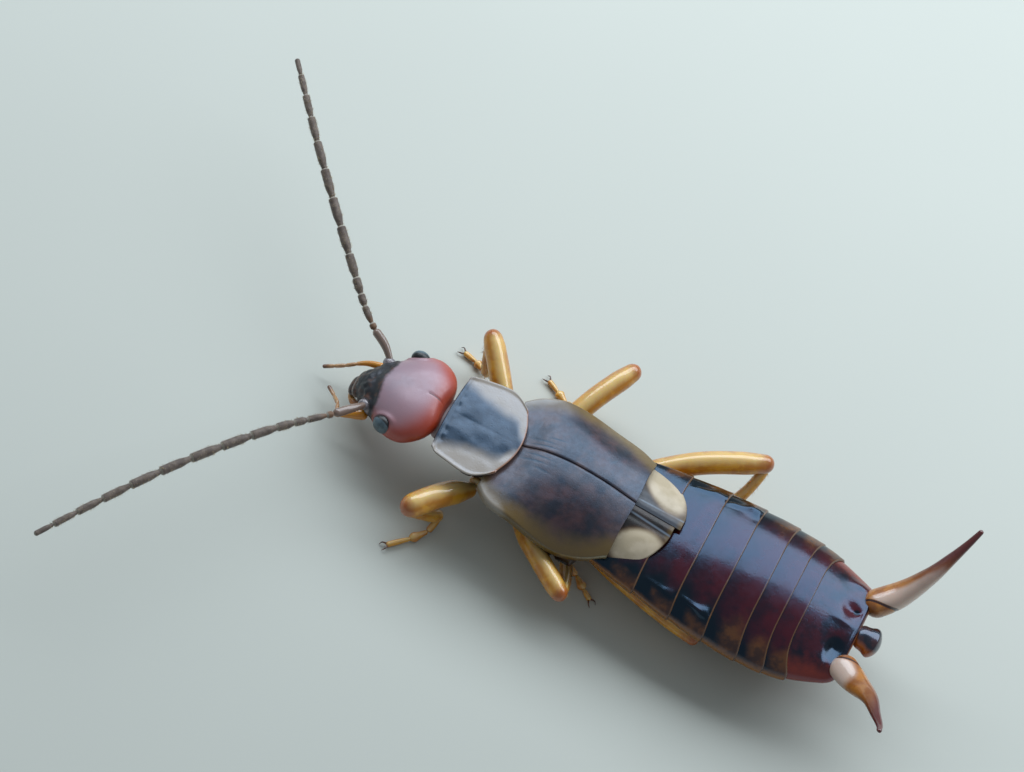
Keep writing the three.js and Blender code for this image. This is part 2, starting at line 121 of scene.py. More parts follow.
# Wing cases and the tips of the folded hind wings
TEGMEN_FRONT = 2.9
TEGMEN_REAR = -0.56
TEGMEN_HALF_WIDTH = 1.8
TEGMEN_SIDE_BEND = 2.6
TEGMEN_THICKNESS = 0.045
TEGMEN_FLAT_SHARE = 0.82
TEGMEN_ROLL_SHARE = 0.92
TEGMEN_ROLL = 0.09
TEGMEN_ROLL_ANGLE = math.radians(100)
TEGMEN_FLAP = 0.2
SWAY_REACH = 1.3
CASE_SEAM = 0.005
WING_TIP_TOP = 2.18
WING_TIP_REACH = {"left": -1.66, "right": WING_TIP_END}
WING_TIP_HALF_WIDTH = 1.42
WING_TIP_END_SHARE = 0.97
WING_TIP_ROUNDNESS = 2.2
WING_TIP_FALL = 0.05
WING_TIP_SIDE_DROP = 0.5
WING_TIP_SIDE_REACH = 1.4
WING_TIP_SIDE_BEND = 2.4
OVALS = {
    "left": {"centre": (-1.04, 0.85), "axis": (-0.88, -0.48), "half": (0.6, 0.36)},
    "right": {"centre": (-1.03, 0.92), "axis": (-0.74, -0.67), "half": (0.76, 0.44)},
}

# Abdomen
ABDOMEN_START = -0.12
ABDOMEN_MARGINS = (-1.47, -2.5, -3.43, -4.34, -5.03, -5.6, -6.66)
MARGIN_BOWS = (0.05, 0.08, 0.1, 0.16, 0.22, 0.32, 0.0)
RING_TUCK = 0.16
RING_INSET = 0.055
RING_WALL = 0.06
RING_NUMBERS = (2, 3, 4, 5, 6, 7)
LAST_FACE_HOLLOW = 0.05
# Height, place along and aside, and reach along and aside
LAST_RING_DENTS = {
    "long dent": (-0.09, -6.25, -0.44, 0.22, 0.2),
    "pit in it": (-0.05, -6.4, -0.46, 0.08, 0.07),
    "ridge": (0.025, -6.2, 0.0, 0.26, 0.1),
    "deep hollow": (-0.17, -6.3, 0.72, 0.2, 0.27),
}
KNOB_FRONT = -6.56
KNOB_LENGTH = 0.7
KNOB_LEVEL = 1.8
KNOB_HALF_WIDTHS = (0.36, 0.42)
KNOB_HALF_HEIGHT = 0.28
# The bumps on two rings: place along and aside, and height; they and their folds lie above these levels
TUBERCLES = {3: (-2.28, 1.47, 0.06), 4: (-3.2, 1.5, 0.11)}
TUBERCLE_LEVEL = 1.4
FOLD_LEVEL = 1.3
# How much higher the dark sides of the front rings reach, as a share of the ring's height
DARK_SIDES = {2: 0.12, 3: 0.16, 4: 0.14, 5: 0.05}

# Feelers: length and thickness of each joint, in millimetres, from the one after the base joint
FEELER_JOINTS = ((0.2, 0.085), (0.5, 0.082), (0.34, 0.094), (0.46, 0.103), (0.68, 0.11), (0.79, 0.113),
                 (0.83, 0.113), (0.83, 0.11), (0.81, 0.105), (0.75, 0.098), (0.69, 0.09), (0.64, 0.08),
                 (0.52, 0.066))
SCAPES = {
    "left": ((6.12, 0.52, 1.25), (6.4, 0.94, 1.42), (6.72, 1.37, 1.5)),
    "right": ((6.12, -0.66, 1.25), (6.5, -0.98, 1.42), (6.92, -1.19, 1.51)),
}
FEELERS = {
    "left": ((6.7, 1.35, 1.5), (7.65, 2.43, 1.6), (8.57, 3.69, 1.7), (9.49, 5.12, 1.8), (10.3, 6.49, 1.8),
             (11.14, 8.0, 1.8)),
    "right": ((6.9, -1.18, 1.5), (7.38, -1.55, 1.6), (8.19, -2.33, 1.8), (9.24, -3.39, 2.0),
              (10.35, -4.56, 2.2), (11.93, -6.45, 2.2)),
}
PALPS = {
    "left": ((6.05, 0.58, 0.86), (6.4, 0.76, 0.8), (6.7, 0.86, 0.7), (6.85, 0.56, 0.58), (7.02, 0.36, 0.46),
             (7.27, 0.14, 0.36)),
    "right": ((6.3, -0.8, 0.8), (6.73, -0.7, 0.72), (7.18, -0.45, 0.55), (7.64, -0.27, 0.32)),
}
PALP_JOINTS = (0.45, 0.62, 0.8)
PALP_BASE_RADIUS = {"left": 0.14, "right": 0.09}
# Mouthparts on the head's own axes: centre, half size and fullness of the lips, jaw and lip palp as on
# the left
LIPS = {
    "lip": ((1.27, 0, -0.06), (0.2, 0.3, 0.09), 0.8),
    "face": ((1.08, 0, 0.07), (0.22, 0.4, 0.13), 0.75),
    "chin": ((0.9, 0, -0.4), (0.42, 0.32, 0.1), 0.8),
}
JAW = ((0.85, 0.42, -0.16), (1.15, 0.42, -0.2), (1.36, 0.26, -0.2), (1.44, 0.08, -0.2))
LIP_PALP = ((1.05, 0.2, -0.42), (1.25, 0.3, -0.5), (1.45, 0.26, -0.5))

# Forceps, as on the left side. The ivory, partly painted reflection, has the turn it faces, and the shares
# where it ends and is gone
FORCEPS_ROUTE = ((-6.5, 0.78, 1.68), (-7.1, 1.32, 2.1), (-7.52, 1.84, 2.71), (-7.76, 2.32, 3.08),
                 (-7.94, 2.72, 3.4))
FORCEPS_TIPS = {"left": (-7.97, 2.95, 3.58), "right": (-8.07, 3.05, 3.66)}
FORCEPS_IVORY_AND_SHEEN = {"left": (2.6, 0.16, 0.42), "right": (0.55, 0.5, 0.76)}

# Legs. The joints of a foot have a half width, a half height and a share by which they widen to a lobe
FOOT_JOINTS = ((0.085, 0.085, 0.0), (0.085, 0.075, 0.45), (0.07, 0.07, 0.0))
CLAW_RADIUS = 0.026
# Each has its hip, trochanter, knee, ankle and toes, the thigh's half height and the way it bends
LEGS = {
    "fore_left": {
        "hip": (2.95, 0.35, 0.78), "trochanter": (2.98, 0.92, 0.72), "knee": (4.2, 2.57, 1.15),
        "ankle": (3.36, 1.74, 0.26), "toes": ((3.46, 2.2, 0.12), (3.72, 2.56, 0.09), (4.16, 3.02, 0.075)),
        "thigh": 0.33, "bow": (0.0, -0.06, 0.12),
    },
    "mid_left": {
        "hip": (1.95, 0.35, 0.66), "trochanter": (1.8, 0.95, 0.56), "knee": (-0.16, 2.63, 1.2),
        "ankle": (0.22, 1.2, 0.26), "toes": ((-0.15, 1.32, 0.12), (-0.44, 1.52, 0.09), (-0.72, 1.71, 0.075)),
        "thigh": 0.27, "bow": (0.1, 0.0, 0.12),
    },
    "hind_left": {
        "hip": (0.75, 0.35, 0.7), "trochanter": (0.3, 0.68, 0.5), "knee": (-3.44, 1.6, 0.6),
        "ankle": (-2.25, 0.62, 0.25), "toes": ((-2.6, 0.5, 0.12), (-3.0, 0.45, 0.09), (-3.5, 0.5, 0.075)),
        "thigh": 0.21, "bow": (0.0, 0.1, 0.06),
    },
    "fore_right": {
        "hip": (2.95, -0.35, 0.78), "trochanter": (2.98, -0.92, 0.72), "knee": (4.5, -2.8, 1.4),
        "ankle": (4.08, -2.24, 0.26), "toes": ((4.25, -2.42, 0.12), (4.5, -2.55, 0.09), (4.88, -2.64, 0.075)),
        "thigh": 0.29, "bow": (0.0, 0.0, 0.12),
    },
    "mid_right": {
        "hip": (1.95, -0.35, 0.66), "trochanter": (2.1, -0.95, 0.56), "knee": (0.92, -3.78, 1.5),
        "ankle": (1.78, -2.62, 0.26), "toes": ((2.1, -2.72, 0.12), (2.4, -2.9, 0.09), (2.74, -3.08, 0.075)),
        "thigh": 0.29, "bow": (0.06, -0.05, 0.2),
    },
    "hind_right": {
        "hip": (0.75, -0.4, 0.7), "trochanter": (0.35, -0.95, 0.6), "knee": (-3.04, -3.32, 1.3),
        "ankle": (-2.5, -2.05, 0.26), "toes": ((-2.85, -2.1, 0.12), (-3.2, -2.2, 0.09), (-3.65, -2.3, 0.075)),
        "thigh": 0.31, "bow": (0.0, -0.08, 0.42),
    },
}


def smooth(x, low, high):
    t = min(max((x - low) / (high - low), 0.0), 1.0)
    return t * t * (3 - 2 * t)


def blend(a, b, t):
    return a + (b - a) * t


def hill(x, centre, width):
    return math.exp(-(((x - centre) / width) ** 2))


def within(distance, softness=0.4):
    """A mask that is a half where distance is 0, and rises to 1 inside"""
    return min(max(0.5 + distance / softness, 0.0), 1.0)


def curve_through(*stations):
    """A smooth function through stations, each a place and a value"""

    def slope(i):
        a, b = stations[max(i - 1, 0)], stations[min(i + 1, len(stations) - 1)]
        return (b[1] - a[1]) / (b[0] - a[0])

    def value(x):
        i = 0
        while i < len(stations) - 2 and x > stations[i + 1][0]:
            i += 1
        (x0, y0), (x1, y1) = stations[i], stations[i + 1]
        run = x1 - x0
        t = min(max((x - x0) / run, 0.0), 1.0)
        return (
            y0 * (2 * t**3 - 3 * t**2 + 1)
            + slope(i) * run * (t**3 - 2 * t**2 + t)
            + y1 * (3 * t**2 - 2 * t**3)
            + slope(i + 1) * run * (t**3 - t**2)
        )

    return value


# Outlines by place along the body: half widths, heights, the drop of a side and the sway of the seam.
# The half widths of the pronotum and the forceps go by share of their length
trunk_half_width = curve_through((-6.66, 1.26), (-6.45, 1.42), (-5.4, 1.82), (-4.5, 1.94), (-3.5, 1.95),
                                 (-2.4, 1.88), (-1.3, 1.73), (0.2, 1.5))
trunk_top = curve_through((-6.66, 1.98), (-5.6, 2.16), (-4.2, 2.24), (-3.2, 2.2), (-1.8, 2.02), (0.2, 1.7))
trunk_belly = curve_through((-6.66, 1.05), (-5.6, 0.78), (-4.2, 0.68), (-1.8, 0.7), (0.2, 0.72))
trunk_side = curve_through((-6.66, 1.56), (-5.5, 1.4), (-3.5, 1.44), (-1.3, 1.6), (0.2, 1.6))
tegmen_outer = curve_through((-0.56, 1.43), (-0.1, 1.68), (0.5, 1.84), (1.1, 1.86), (1.7, 1.8), (2.2, 1.7),
                             (2.6, 1.54), (2.9, 1.28))
tegmen_drop = curve_through((-0.56, 0.75), (0.5, 0.72), (1.1, 0.56), (1.7, 0.34), (2.3, 0.12), (2.9, 0.08))
seam_sway = curve_through((-0.56, 0.0), (0.4, -0.09), (1.3, -0.13), (2.2, -0.11), (2.9, -0.06))
tegmen_ridge = curve_through((-0.56, 2.3), (0.2, 2.34), (1.2, 2.31), (1.9, 2.17), (2.4, 1.93), (2.9, 1.8))
pronotum_half = curve_through((0, 1.08), (0.08, 1.17), (0.35, 1.25), (0.7, 1.31), (0.86, 1.26), (0.96, 1.1),
                              (1, 0.95))
forceps_half_width = curve_through((0, 0.36), (0.2, 0.34), (0.4, 0.26), (0.6, 0.18), (0.8, 0.11), (1, 0.06))
collar_top = curve_through((2.5, 1.36), (4.2, 1.5))
chest_top = curve_through((-0.2, 1.7), (1.4, 1.75), (2.7, 1.4))
chest_half_width = curve_through((-0.2, 1.7), (0.3, 1.74), (0.9, 1.7), (1.5, 1.4), (2.7, 1.15))
shield_dark_half = curve_through((2.45, 0.15), (2.62, 0.3), (2.8, 0.56), (3.2, 0.62), (3.6, 0.7), (4.0, 0.83),
                                 (4.37, 0.95))


# Shapes: a grid or a ball is laid over a form that a function gives, point by point


def laid(bm, place):
    """Moves every vertex to the place that is given for it, with the masks of the finish there"""
    bm.verts.ensure_lookup_table()
    names = place(bm.verts[0].co)[1]
    layers = {name: bm.verts.layers.float.new(name) for name in names}
    for vert in bm.verts:
        point, values = place(vert.co)
        vert.co = point
        for name, value in values.items():
            vert[layers[name]] = value
    bmesh.ops.remove_doubles(bm, verts=bm.verts[:], dist=SEAM)
    return bm


def wrapped(columns, rows, place):
    """A grid over a form; place has shares along and across"""
    bm = bmesh.new()
    bmesh.ops.create_grid(bm, x_segments=columns, y_segments=rows, size=0.5)
    return laid(bm, lambda co: place(co.x + 0.5, co.y + 0.5))


def rounded(sides, rings, place):
    """A ball over a form, with its poles in front and behind"""
    bm = bmesh.new()
    bmesh.ops.create_uvsphere(bm, u_segments=sides, v_segments=rings, radius=1)
    return laid(bm, lambda co: place(Vector((co.z, co.y, -co.x))))


def route_through(points):
    """A smooth line through points, by share of its length, and the length"""
    points = [Vector(p) for p in points]
    marks = [0.0]
    for a, b in zip(points, points[1:]):
        marks.append(marks[-1] + (b - a).length)
    axes = [curve_through(*[(m / marks[-1], p[k]) for m, p in zip(marks, points)]) for k in range(3)]
    return lambda t: Vector([axis(t) for axis in axes]), marks[-1]


def round_end(distance, radius):
    """Share of its thickness that a limb has at a distance from its rounded end"""
    return math.sqrt(max(1 - (1 - min(max(distance, 0) / radius, 1)) ** 2, 0))


def limb_form(route, section, even=False, blunt=None):
    """The form of a limb; section gives half width, half height and masks by share of length and turn.
    Its ends are round, or rounded by the radius blunt"""
    line, length = route_through(route)

    @functools.lru_cache(maxsize=None)
    def station(u):
        t = u if even else (1 - math.cos(math.pi * u)) / 2
        ahead = (line(min(t + FEEL, 1)) - line(max(t - FEEL, 0))).normalized()
        side = UP.cross(ahead).normalized()
        return t, line(t), side, ahead.cross(side)

    def place(u, v):
        t, centre, side, over = station(round(u, 6))
        turn = math.tau * v
        wide, high, values = section(t, turn)
        radius = blunt or wide
        closing = round_end(t * length, radius) * round_end((1 - t) * length, radius)
        return centre + closing * (wide * math.cos(turn) * side + high * math.sin(turn) * over), values

    return place


def limb(route, section, along, around, even=False, blunt=None):
    """A closed limb round a route"""
    return wrapped(along, around, limb_form(route, section, even, blunt))


def coat(form, count, length, thick):
    """Fine hairs on a form, leaning to its far end; in the bake map each is a small patch at its root"""
    bm = bmesh.new()
    bake = bm.loops.layers.uv.new("OFBake")
    for _ in range(count):
        u, v = random.uniform(*HAIRY_SHARE), random.uniform(0.0, 1.0)
        root = form(u, v)[0]
        ahead = (form(u + HAIR_STEP, v)[0] - root).normalized()
        aside = (form(u, v + HAIR_STEP)[0] - root).normalized()
        stray = Vector([random.uniform(-HAIR_STRAY, HAIR_STRAY) for _ in range(3)])
        tilt = (aside.cross(ahead) + HAIR_LEAN * ahead + stray).normalized()
        tall = length * random.uniform(*HAIR_LENGTHS)
        turn = tilt.to_track_quat("Z", "Y").to_matrix().to_4x4()
        hair = bmesh.ops.create_cone(
            bm, cap_ends=True, segments=3, radius1=thick, radius2=thick * HAIR_TAPER, depth=tall,
            matrix=Matrix.Translation(root + tilt * tall * HAIR_ROOT) @ turn,
        )
        for face in {f for vert in hair["verts"] for f in vert.link_faces}:
            for corner, loop in enumerate(face.loops):
                loop[bake].uv = (u + HAIR_PATCH * (corner % 2), v + HAIR_PATCH * (corner // 2 % 2))
    return bm


def mirror(bm):
    """Moves a shape to the other side of the body"""
    bmesh.ops.scale(bm, vec=(1, -1, 1), verts=bm.verts[:])


def deliver(bm, name, finish, slot, *nodes):
    """Carries a shape into the frame as a piece of the model that stands for the named solids"""
    bmesh.ops.recalc_face_normals(bm, faces=bm.faces[:])
    for face in bm.faces:
        face.smooth = True
    bmesh.ops.transform(bm, matrix=INTO_FRAME, verts=bm.verts[:])
    mesh = bpy.data.meshes.new(name)
    bm.to_mesh(mesh)
    bm.free()
    mesh.materials.append(finish)
    piece = bpy.data.objects.new(name, mesh)
    bpy.context.scene.collection.objects.link(piece)
    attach(piece, "root")
    if nodes:
        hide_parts(*nodes)


# Finishes


def shade(code):
    """A colour from its usual six-digit code"""

    def linear(part):
        value = int(part, 16) / 255
        return value / 12.92 if value <= 0.04045 else ((value + 0.055) / 1.055) ** 2.4

    return (linear(code[0:2]), linear(code[2:4]), linear(code[4:6]), 1.0)


def add(tree, kind, settings=None, **inputs):
    """A node with its settings and inputs; an input is a value or another node's output"""
    node = tree.nodes.new(kind)
    for key, value in (settings or {}).items():
        setattr(node, key, value)
    for key, value in inputs.items():
        connect(tree, node.inputs[key.replace("_", " ")], value)
    return node


def connect(tree, socket, value):
    if isinstance(value, bpy.types.NodeSocket):
        tree.links.new(value, socket)
    else:
        socket.default_value = value


def maths(tree, operation, *values):
    node = add(tree, "ShaderNodeMath", {"operation": operation})
    for socket, value in zip(node.inputs, values):
        connect(tree, socket, value)
    return node.outputs[0]


def tint(tree, amount, below, above):
    """A colour laid over another one by amount"""
    node = add(tree, "ShaderNodeMix", {"data_type": "RGBA"})
    for index, value in ((0, amount), (6, below), (7, above)):
        connect(tree, node.inputs[index], value)
    return node.outputs[2]


def new_group(name, inputs, outputs):
    """An empty shader group with number inputs and their usual values"""
    tree = bpy.data.node_groups.new(name, "ShaderNodeTree")
    for label, value in inputs.items():
        socket = tree.interface.new_socket(label, in_out="INPUT", socket_type="NodeSocketFloat")
        socket.default_value = value
    for label, kind in outputs.items():
        tree.interface.new_socket(label, in_out="OUTPUT", socket_type=kind)
    given = tree.nodes.new("NodeGroupInput").outputs
    result = tree.nodes.new("NodeGroupOutput").inputs
    place = tree.nodes.new("ShaderNodeTexCoord").outputs["Object"]
    return tree, given, result, place


def clouds_group():
    """Soft cloudy patches; size in millimetres"""
    numbers = {"Size": 0.3, "Low": 0.4, "High": 0.6, "Detail": 3.0}
    tree, given, result, place = new_group("clouds", numbers, {"Mask": "NodeSocketFloat"})
    scale = maths(tree, "DIVIDE", 1 / MM, given["Size"])
    cloud = add(tree, "ShaderNodeTexNoise", Vector=place, Scale=scale, Detail=given["Detail"], Roughness=0.55)
    step = add(
        tree, "ShaderNodeMapRange", {"interpolation_type": "SMOOTHSTEP"},
        Value=cloud.outputs["Fac"], From_Min=given["Low"], From_Max=given["High"],
    )
    connect(tree, result["Mask"], step.outputs["Result"])
    return tree


def ragged_group():
    """A mask whose border wanders a little, and is as soft as it is told"""
    numbers = {"Mask": 0.0, "Wander": 0.2, "Size": 0.12, "Softness": 0.1}
    tree, given, result, place = new_group("ragged_edge", numbers, {"Mask": "NodeSocketFloat"})
    scale = maths(tree, "DIVIDE", 1 / MM, given["Size"])
    cloud = add(tree, "ShaderNodeTexNoise", Vector=place, Scale=scale, Detail=2.0)
    swing = maths(tree, "MULTIPLY", maths(tree, "SUBTRACT", cloud.outputs["Fac"], 0.5), given["Wander"])
    step = add(
        tree, "ShaderNodeMapRange", {"interpolation_type": "SMOOTHSTEP"},
        Value=maths(tree, "ADD", given["Mask"], swing),
        From_Min=maths(tree, "SUBTRACT", 0.5, given["Softness"]),
        From_Max=maths(tree, "ADD", 0.5, given["Softness"]),
    )
    connect(tree, result["Mask"], step.outputs["Result"])
    return tree


def grain_group():
    """Fine pits and unevenness of insect shell"""
    numbers = {"Size": 0.03, "Depth": 0.1, "Pits": 0.5}
    tree, given, result, place = new_group("shell_grain", numbers, {"Normal": "NodeSocketVector"})
    scale = maths(tree, "DIVIDE", 1 / MM, given["Size"])
    uneven = add(tree, "ShaderNodeTexNoise", Vector=place, Scale=scale, Detail=3.0)
    cells = add(tree, "ShaderNodeTexVoronoi", Vector=place, Scale=maths(tree, "MULTIPLY", scale, 0.45))
    pit = add(
        tree, "ShaderNodeMapRange", {"interpolation_type": "SMOOTHSTEP"},
        Value=cells.outputs["Distance"], From_Min=0.05, From_Max=0.3, To_Min=1.0, To_Max=0.0,
    ).outputs["Result"]
    height = maths(tree, "SUBTRACT", uneven.outputs["Fac"], maths(tree, "MULTIPLY", pit, given["Pits"]))
    bump = add(tree, "ShaderNodeBump", Strength=given["Depth"], Distance=0.02 * MM, Height=height)
    connect(tree, result["Normal"], bump.outputs["Normal"])
    return tree


ROUGHNESS_SPREAD = 0.15
CLOUDS = clouds_group()
RAGGED = ragged_group()
GRAIN = grain_group()


def grouped(tree, group, **inputs):
    return add(tree, "ShaderNodeGroup", {"node_tree": group}, **inputs)


def edged(tree, name, wander=0.2, size=0.12, softness=0.1):
    """The named mask of the mesh with a wandering border"""
    value = add(tree, "ShaderNodeAttribute", {"attribute_name": name}).outputs["Fac"]
    return grouped(tree, RAGGED, Mask=value, Wander=wander, Size=size, Softness=softness).outputs["Mask"]


def cloudy(tree, size, low=0.4, high=0.6, detail=3.0):
    return grouped(tree, CLOUDS, Size=size, Low=low, High=high, Detail=detail).outputs["Mask"]


def mottled(tree, below, above, *patches):
    """One colour with cloudy patches of another"""
    return tint(tree, cloudy(tree, *patches), shade(below), shade(above))


def marked(tree, colour, mark, name, *border):
    """A colour with another one where the named mask of the mesh is"""
    return tint(tree, edged(tree, name, *border), colour, shade(mark))


def painted(base, *marks):
    """A way to colour a finish: two mottled colours, then each mark where its mask of the mesh is"""

    def colour(tree):
        result = mottled(tree, *base)
        for mark in marks:
            result = marked(tree, result, *mark)
        return result

    return colour


def shell(name, colour, grain=(0.03, 0.1, 0.5), coat=None, **constants):
    """A material of insect shell: colour and coat paint it, grain is the size, depth and pits of its
    unevenness, constants go on the shader"""
    material = bpy.data.materials.new(name)
    material.use_nodes = True
    tree = material.node_tree
    tree.nodes.clear()
    shader = tree.nodes.new("ShaderNodeBsdfPrincipled")
    output = tree.nodes.new("ShaderNodeOutputMaterial")
    tree.links.new(shader.outputs["BSDF"], output.inputs["Surface"])
    for key, value in constants.items():
        shader.inputs[key.replace("_", " ")].default_value = value
    size, depth, pits = grain
    relief = grouped(tree, GRAIN, Size=size, Depth=depth, Pits=pits)
    tree.links.new(relief.outputs["Normal"], shader.inputs["Normal"])
    connect(tree, shader.inputs["Base Color"], colour(tree))
    if coat:
        connect(tree, shader.inputs["Coat Weight"], coat(tree))
    rough = shader.inputs["Roughness"].default_value
    uneven = add(
        tree, "ShaderNodeMapRange", Value=cloudy(tree, 0.12, 0.3, 0.7),
        To_Min=rough * (1 - ROUGHNESS_SPREAD), To_Max=rough * (1 + ROUGHNESS_SPREAD),
    )
    tree.links.new(uneven.outputs["Result"], shader.inputs["Roughness"])
    return material


# A mask's border: how far it wanders, in waves of what size, and how soft it is
FRONT_BORDER = (0.35, 0.12, 0.2)
FRONT_COAT = 0.08
CAPSULE_COAT = 0.5
PAINTED_SHEEN_SHARE = 0.66


def head_colour(tree):
    dark = mottled(tree, "0E0805", "4E2A10", 0.2, 0.5, 0.75)
    colour = mottled(tree, "731C0E", "8A270F", 0.5)
    colour = marked(tree, colour, "A6340C", "glow", 0.3, 0.4, 0.4)
    # A lavender patch over the top of the head is painted reflection of the soft light
    bloom = maths(tree, "MULTIPLY", edged(tree, "bloom", 0.3, 0.5, 0.45), PAINTED_SHEEN_SHARE)
    colour = tint(tree, bloom, colour, shade("9E909E"))
    colour = tint(tree, edged(tree, "front", *FRONT_BORDER), colour, dark)
    colour = marked(tree, colour, "8E8A90", "socket", 0.1, 0.08, 0.15)
    return marked(tree, colour, "4A1009", "suture", 0.1, 0.05, 0.2)


def head_coat(tree):
    """The dull red capsule reflects widely under its painted lavender reflection, the dark front hardly at
    all
    """
    front = edged(tree, "front", *FRONT_BORDER)
    return maths(tree, "MULTIPLY_ADD", front, FRONT_COAT - CAPSULE_COAT, CAPSULE_COAT)


# Two mottled colours and the size of their patches, then marks: a colour, its mask and the mask's border
mouth_colour = painted(("1E120C", "4A2A18", 0.15))
socket_colour = painted(("6A6266", "8C8488", 0.1))
neck_colour = painted(("3A2B2A", "5B4A48", 0.12), ("A99A9C", "fold", 0.2, 0.08, 0.2))
under_colour = painted(("120B08", "2E1A10", 0.4), ("9A6A2A", "joint", 0.2, 0.1, 0.15))
eye_colour = painted(("40515A", "556872", 0.25), ("0E1216", "rim", 0.1, 0.1, 0.2))
feeler_colour = painted(
    ("54473F", "6A5C52", 0.15),
    ("6E5038", "amber", 0.3, 0.1, 0.3),
    ("928A7E", "joint", 0.1, 0.05, 0.2),
)
# The grey-pink along the top of the feeler base is a painted highlight
scape_colour = painted(("9A5D24", "B87F34", 0.2), ("7A6458", "top", 0.3, 0.15, 0.3))
# Legs: the pale along the top of each part is a painted highlight
amber_colour = painted(
    ("BF7A12", "D89A1E", 0.35),
    ("E0BE7A", "pale", 0.3, 0.25, 0.35),
    ("A85A1C", "knee", 0.3, 0.12, 0.3),
)
palp_colour = painted(
    ("A87C50", "BC9468", 0.2),
    ("D08A14", "amber", 0.2, 0.1, 0.3),
    ("6A4630", "tip", 0.2, 0.1, 0.3),
)
shield_colour = painted(
    ("14181D", "323A44", 0.35, 0.3, 0.7, 5.0),
    ("A79B8D", "cream", 0.2, 0.25, 0.4),
    ("120E10", "spot", 0.2, 0.1, 0.25),
    ("A77A5C", "rim", 0.1, 0.1, 0.2),
)


def tegmen_colour(tree):
    colour = mottled(tree, "30282B", "5E4841", 0.7, 0.35, 0.65, 5.0)
    middle = mottled(tree, "1E1414", "4A2C26", 0.5, 0.35, 0.65, 5.0)
    # The darker middle of each wing case is painted shade, where the soft light's reflection does not fall
    colour = tint(tree, edged(tree, "middle", 0.4, 0.4, 0.5), colour, middle)
    colour = tint(tree, cloudy(tree, 0.4, 0.45, 0.8, 5.0), colour, shade("201C24"))
    colour = marked(tree, colour, "6E5520", "olive", 0.35, 0.3, 0.4)
    colour = marked(tree, colour, "988C7C", "cream", 0.3, 0.2, 0.45)
    colour = marked(tree, colour, "A89C7C", "rim", 0.15, 0.2, 0.2)
    return marked(tree, colour, "14141E", "streak", 0.2, 0.15, 0.25)


def wing_tip_colour(tree):
    dark = mottled(tree, "0E0A0B", "241816", 0.3)
    # Blue-grey on the inner part of the right wing tip is painted reflection of the soft light
    colour = marked(tree, dark, "343A44", "grey", 0.2, 0.2, 0.3)
    colour = marked(tree, colour, "54401E", "rim", 0.2, 0.1, 0.25)
    colour = marked(tree, colour, "6A7684", "line", 0.1, 0.1, 0.3)
    colour = marked(tree, colour, "5A4024", "border", 0.1, 0.2, 0.3)
    cream = mottled(tree, "B5A68C", "C3B49C", 0.5)
    return tint(tree, edged(tree, "oval", 0.08, 0.2, 0.2), colour, cream)


def abdomen_colour(tree):
    colour = tint(tree, edged(tree, "red", 0.5, 0.3, 0.45), shade("0A0405"), shade("420A09"))
    colour = tint(tree, cloudy(tree, 0.5, 0.45, 0.8), colour, shade("1A0707"))
    side = mottled(tree, "4A2C0E", "6A4014", 0.3)
    side = marked(tree, side, "060905", "patch", 0.45, 0.25, 0.3)
    side = marked(tree, side, "8E5A12", "edge", 0.25, 0.15, 0.35)
    colour = tint(tree, edged(tree, "side", 0.3, 0.2, 0.3), colour, side)
    # Black in the pits before the tubercles is painted shade
    colour = marked(tree, colour, "030203", "pit", 0.1, 0.1, 0.2)
    return marked(tree, colour, "6A4C30", "margin", 0.1, 0.1, 0.2)


# On the last ring, the black in the pit of the dent and in the deep hollow is painted shade
last_ring_colour = painted(
    ("170809", "3D0D0D", 0.4, 0.35, 0.65),
    ("84300F", "side", 0.3, 0.2, 0.3),
    ("4A0E10", "red", 0.2, 0.1, 0.3),
    ("050304", "pit", 0.1, 0.1, 0.2),
    ("7A4A2C", "margin", 0.1, 0.1, 0.15),
)
knob_colour = painted(("1B1314", "3A1D16", 0.2), ("AA5C1C", "side", 0.25, 0.15, 0.3))
# On the forceps, the ivory is partly their pale colour and partly painted reflection
forceps_colour = painted(
    ("9A5A1C", "B5742C", 0.3),
    ("CDB2A2", "ivory", 0.2, 0.25, 0.3),
    ("561714", "tip", 0.35, 0.3, 0.45),
    ("32100E", "seam", 0.1, 0.1, 0.2),
)
hair_colour = painted(("B59A62", "D8C79C", 0.3))
claw_colour = painted(("3B1E10", "6A3A1C", 0.05))

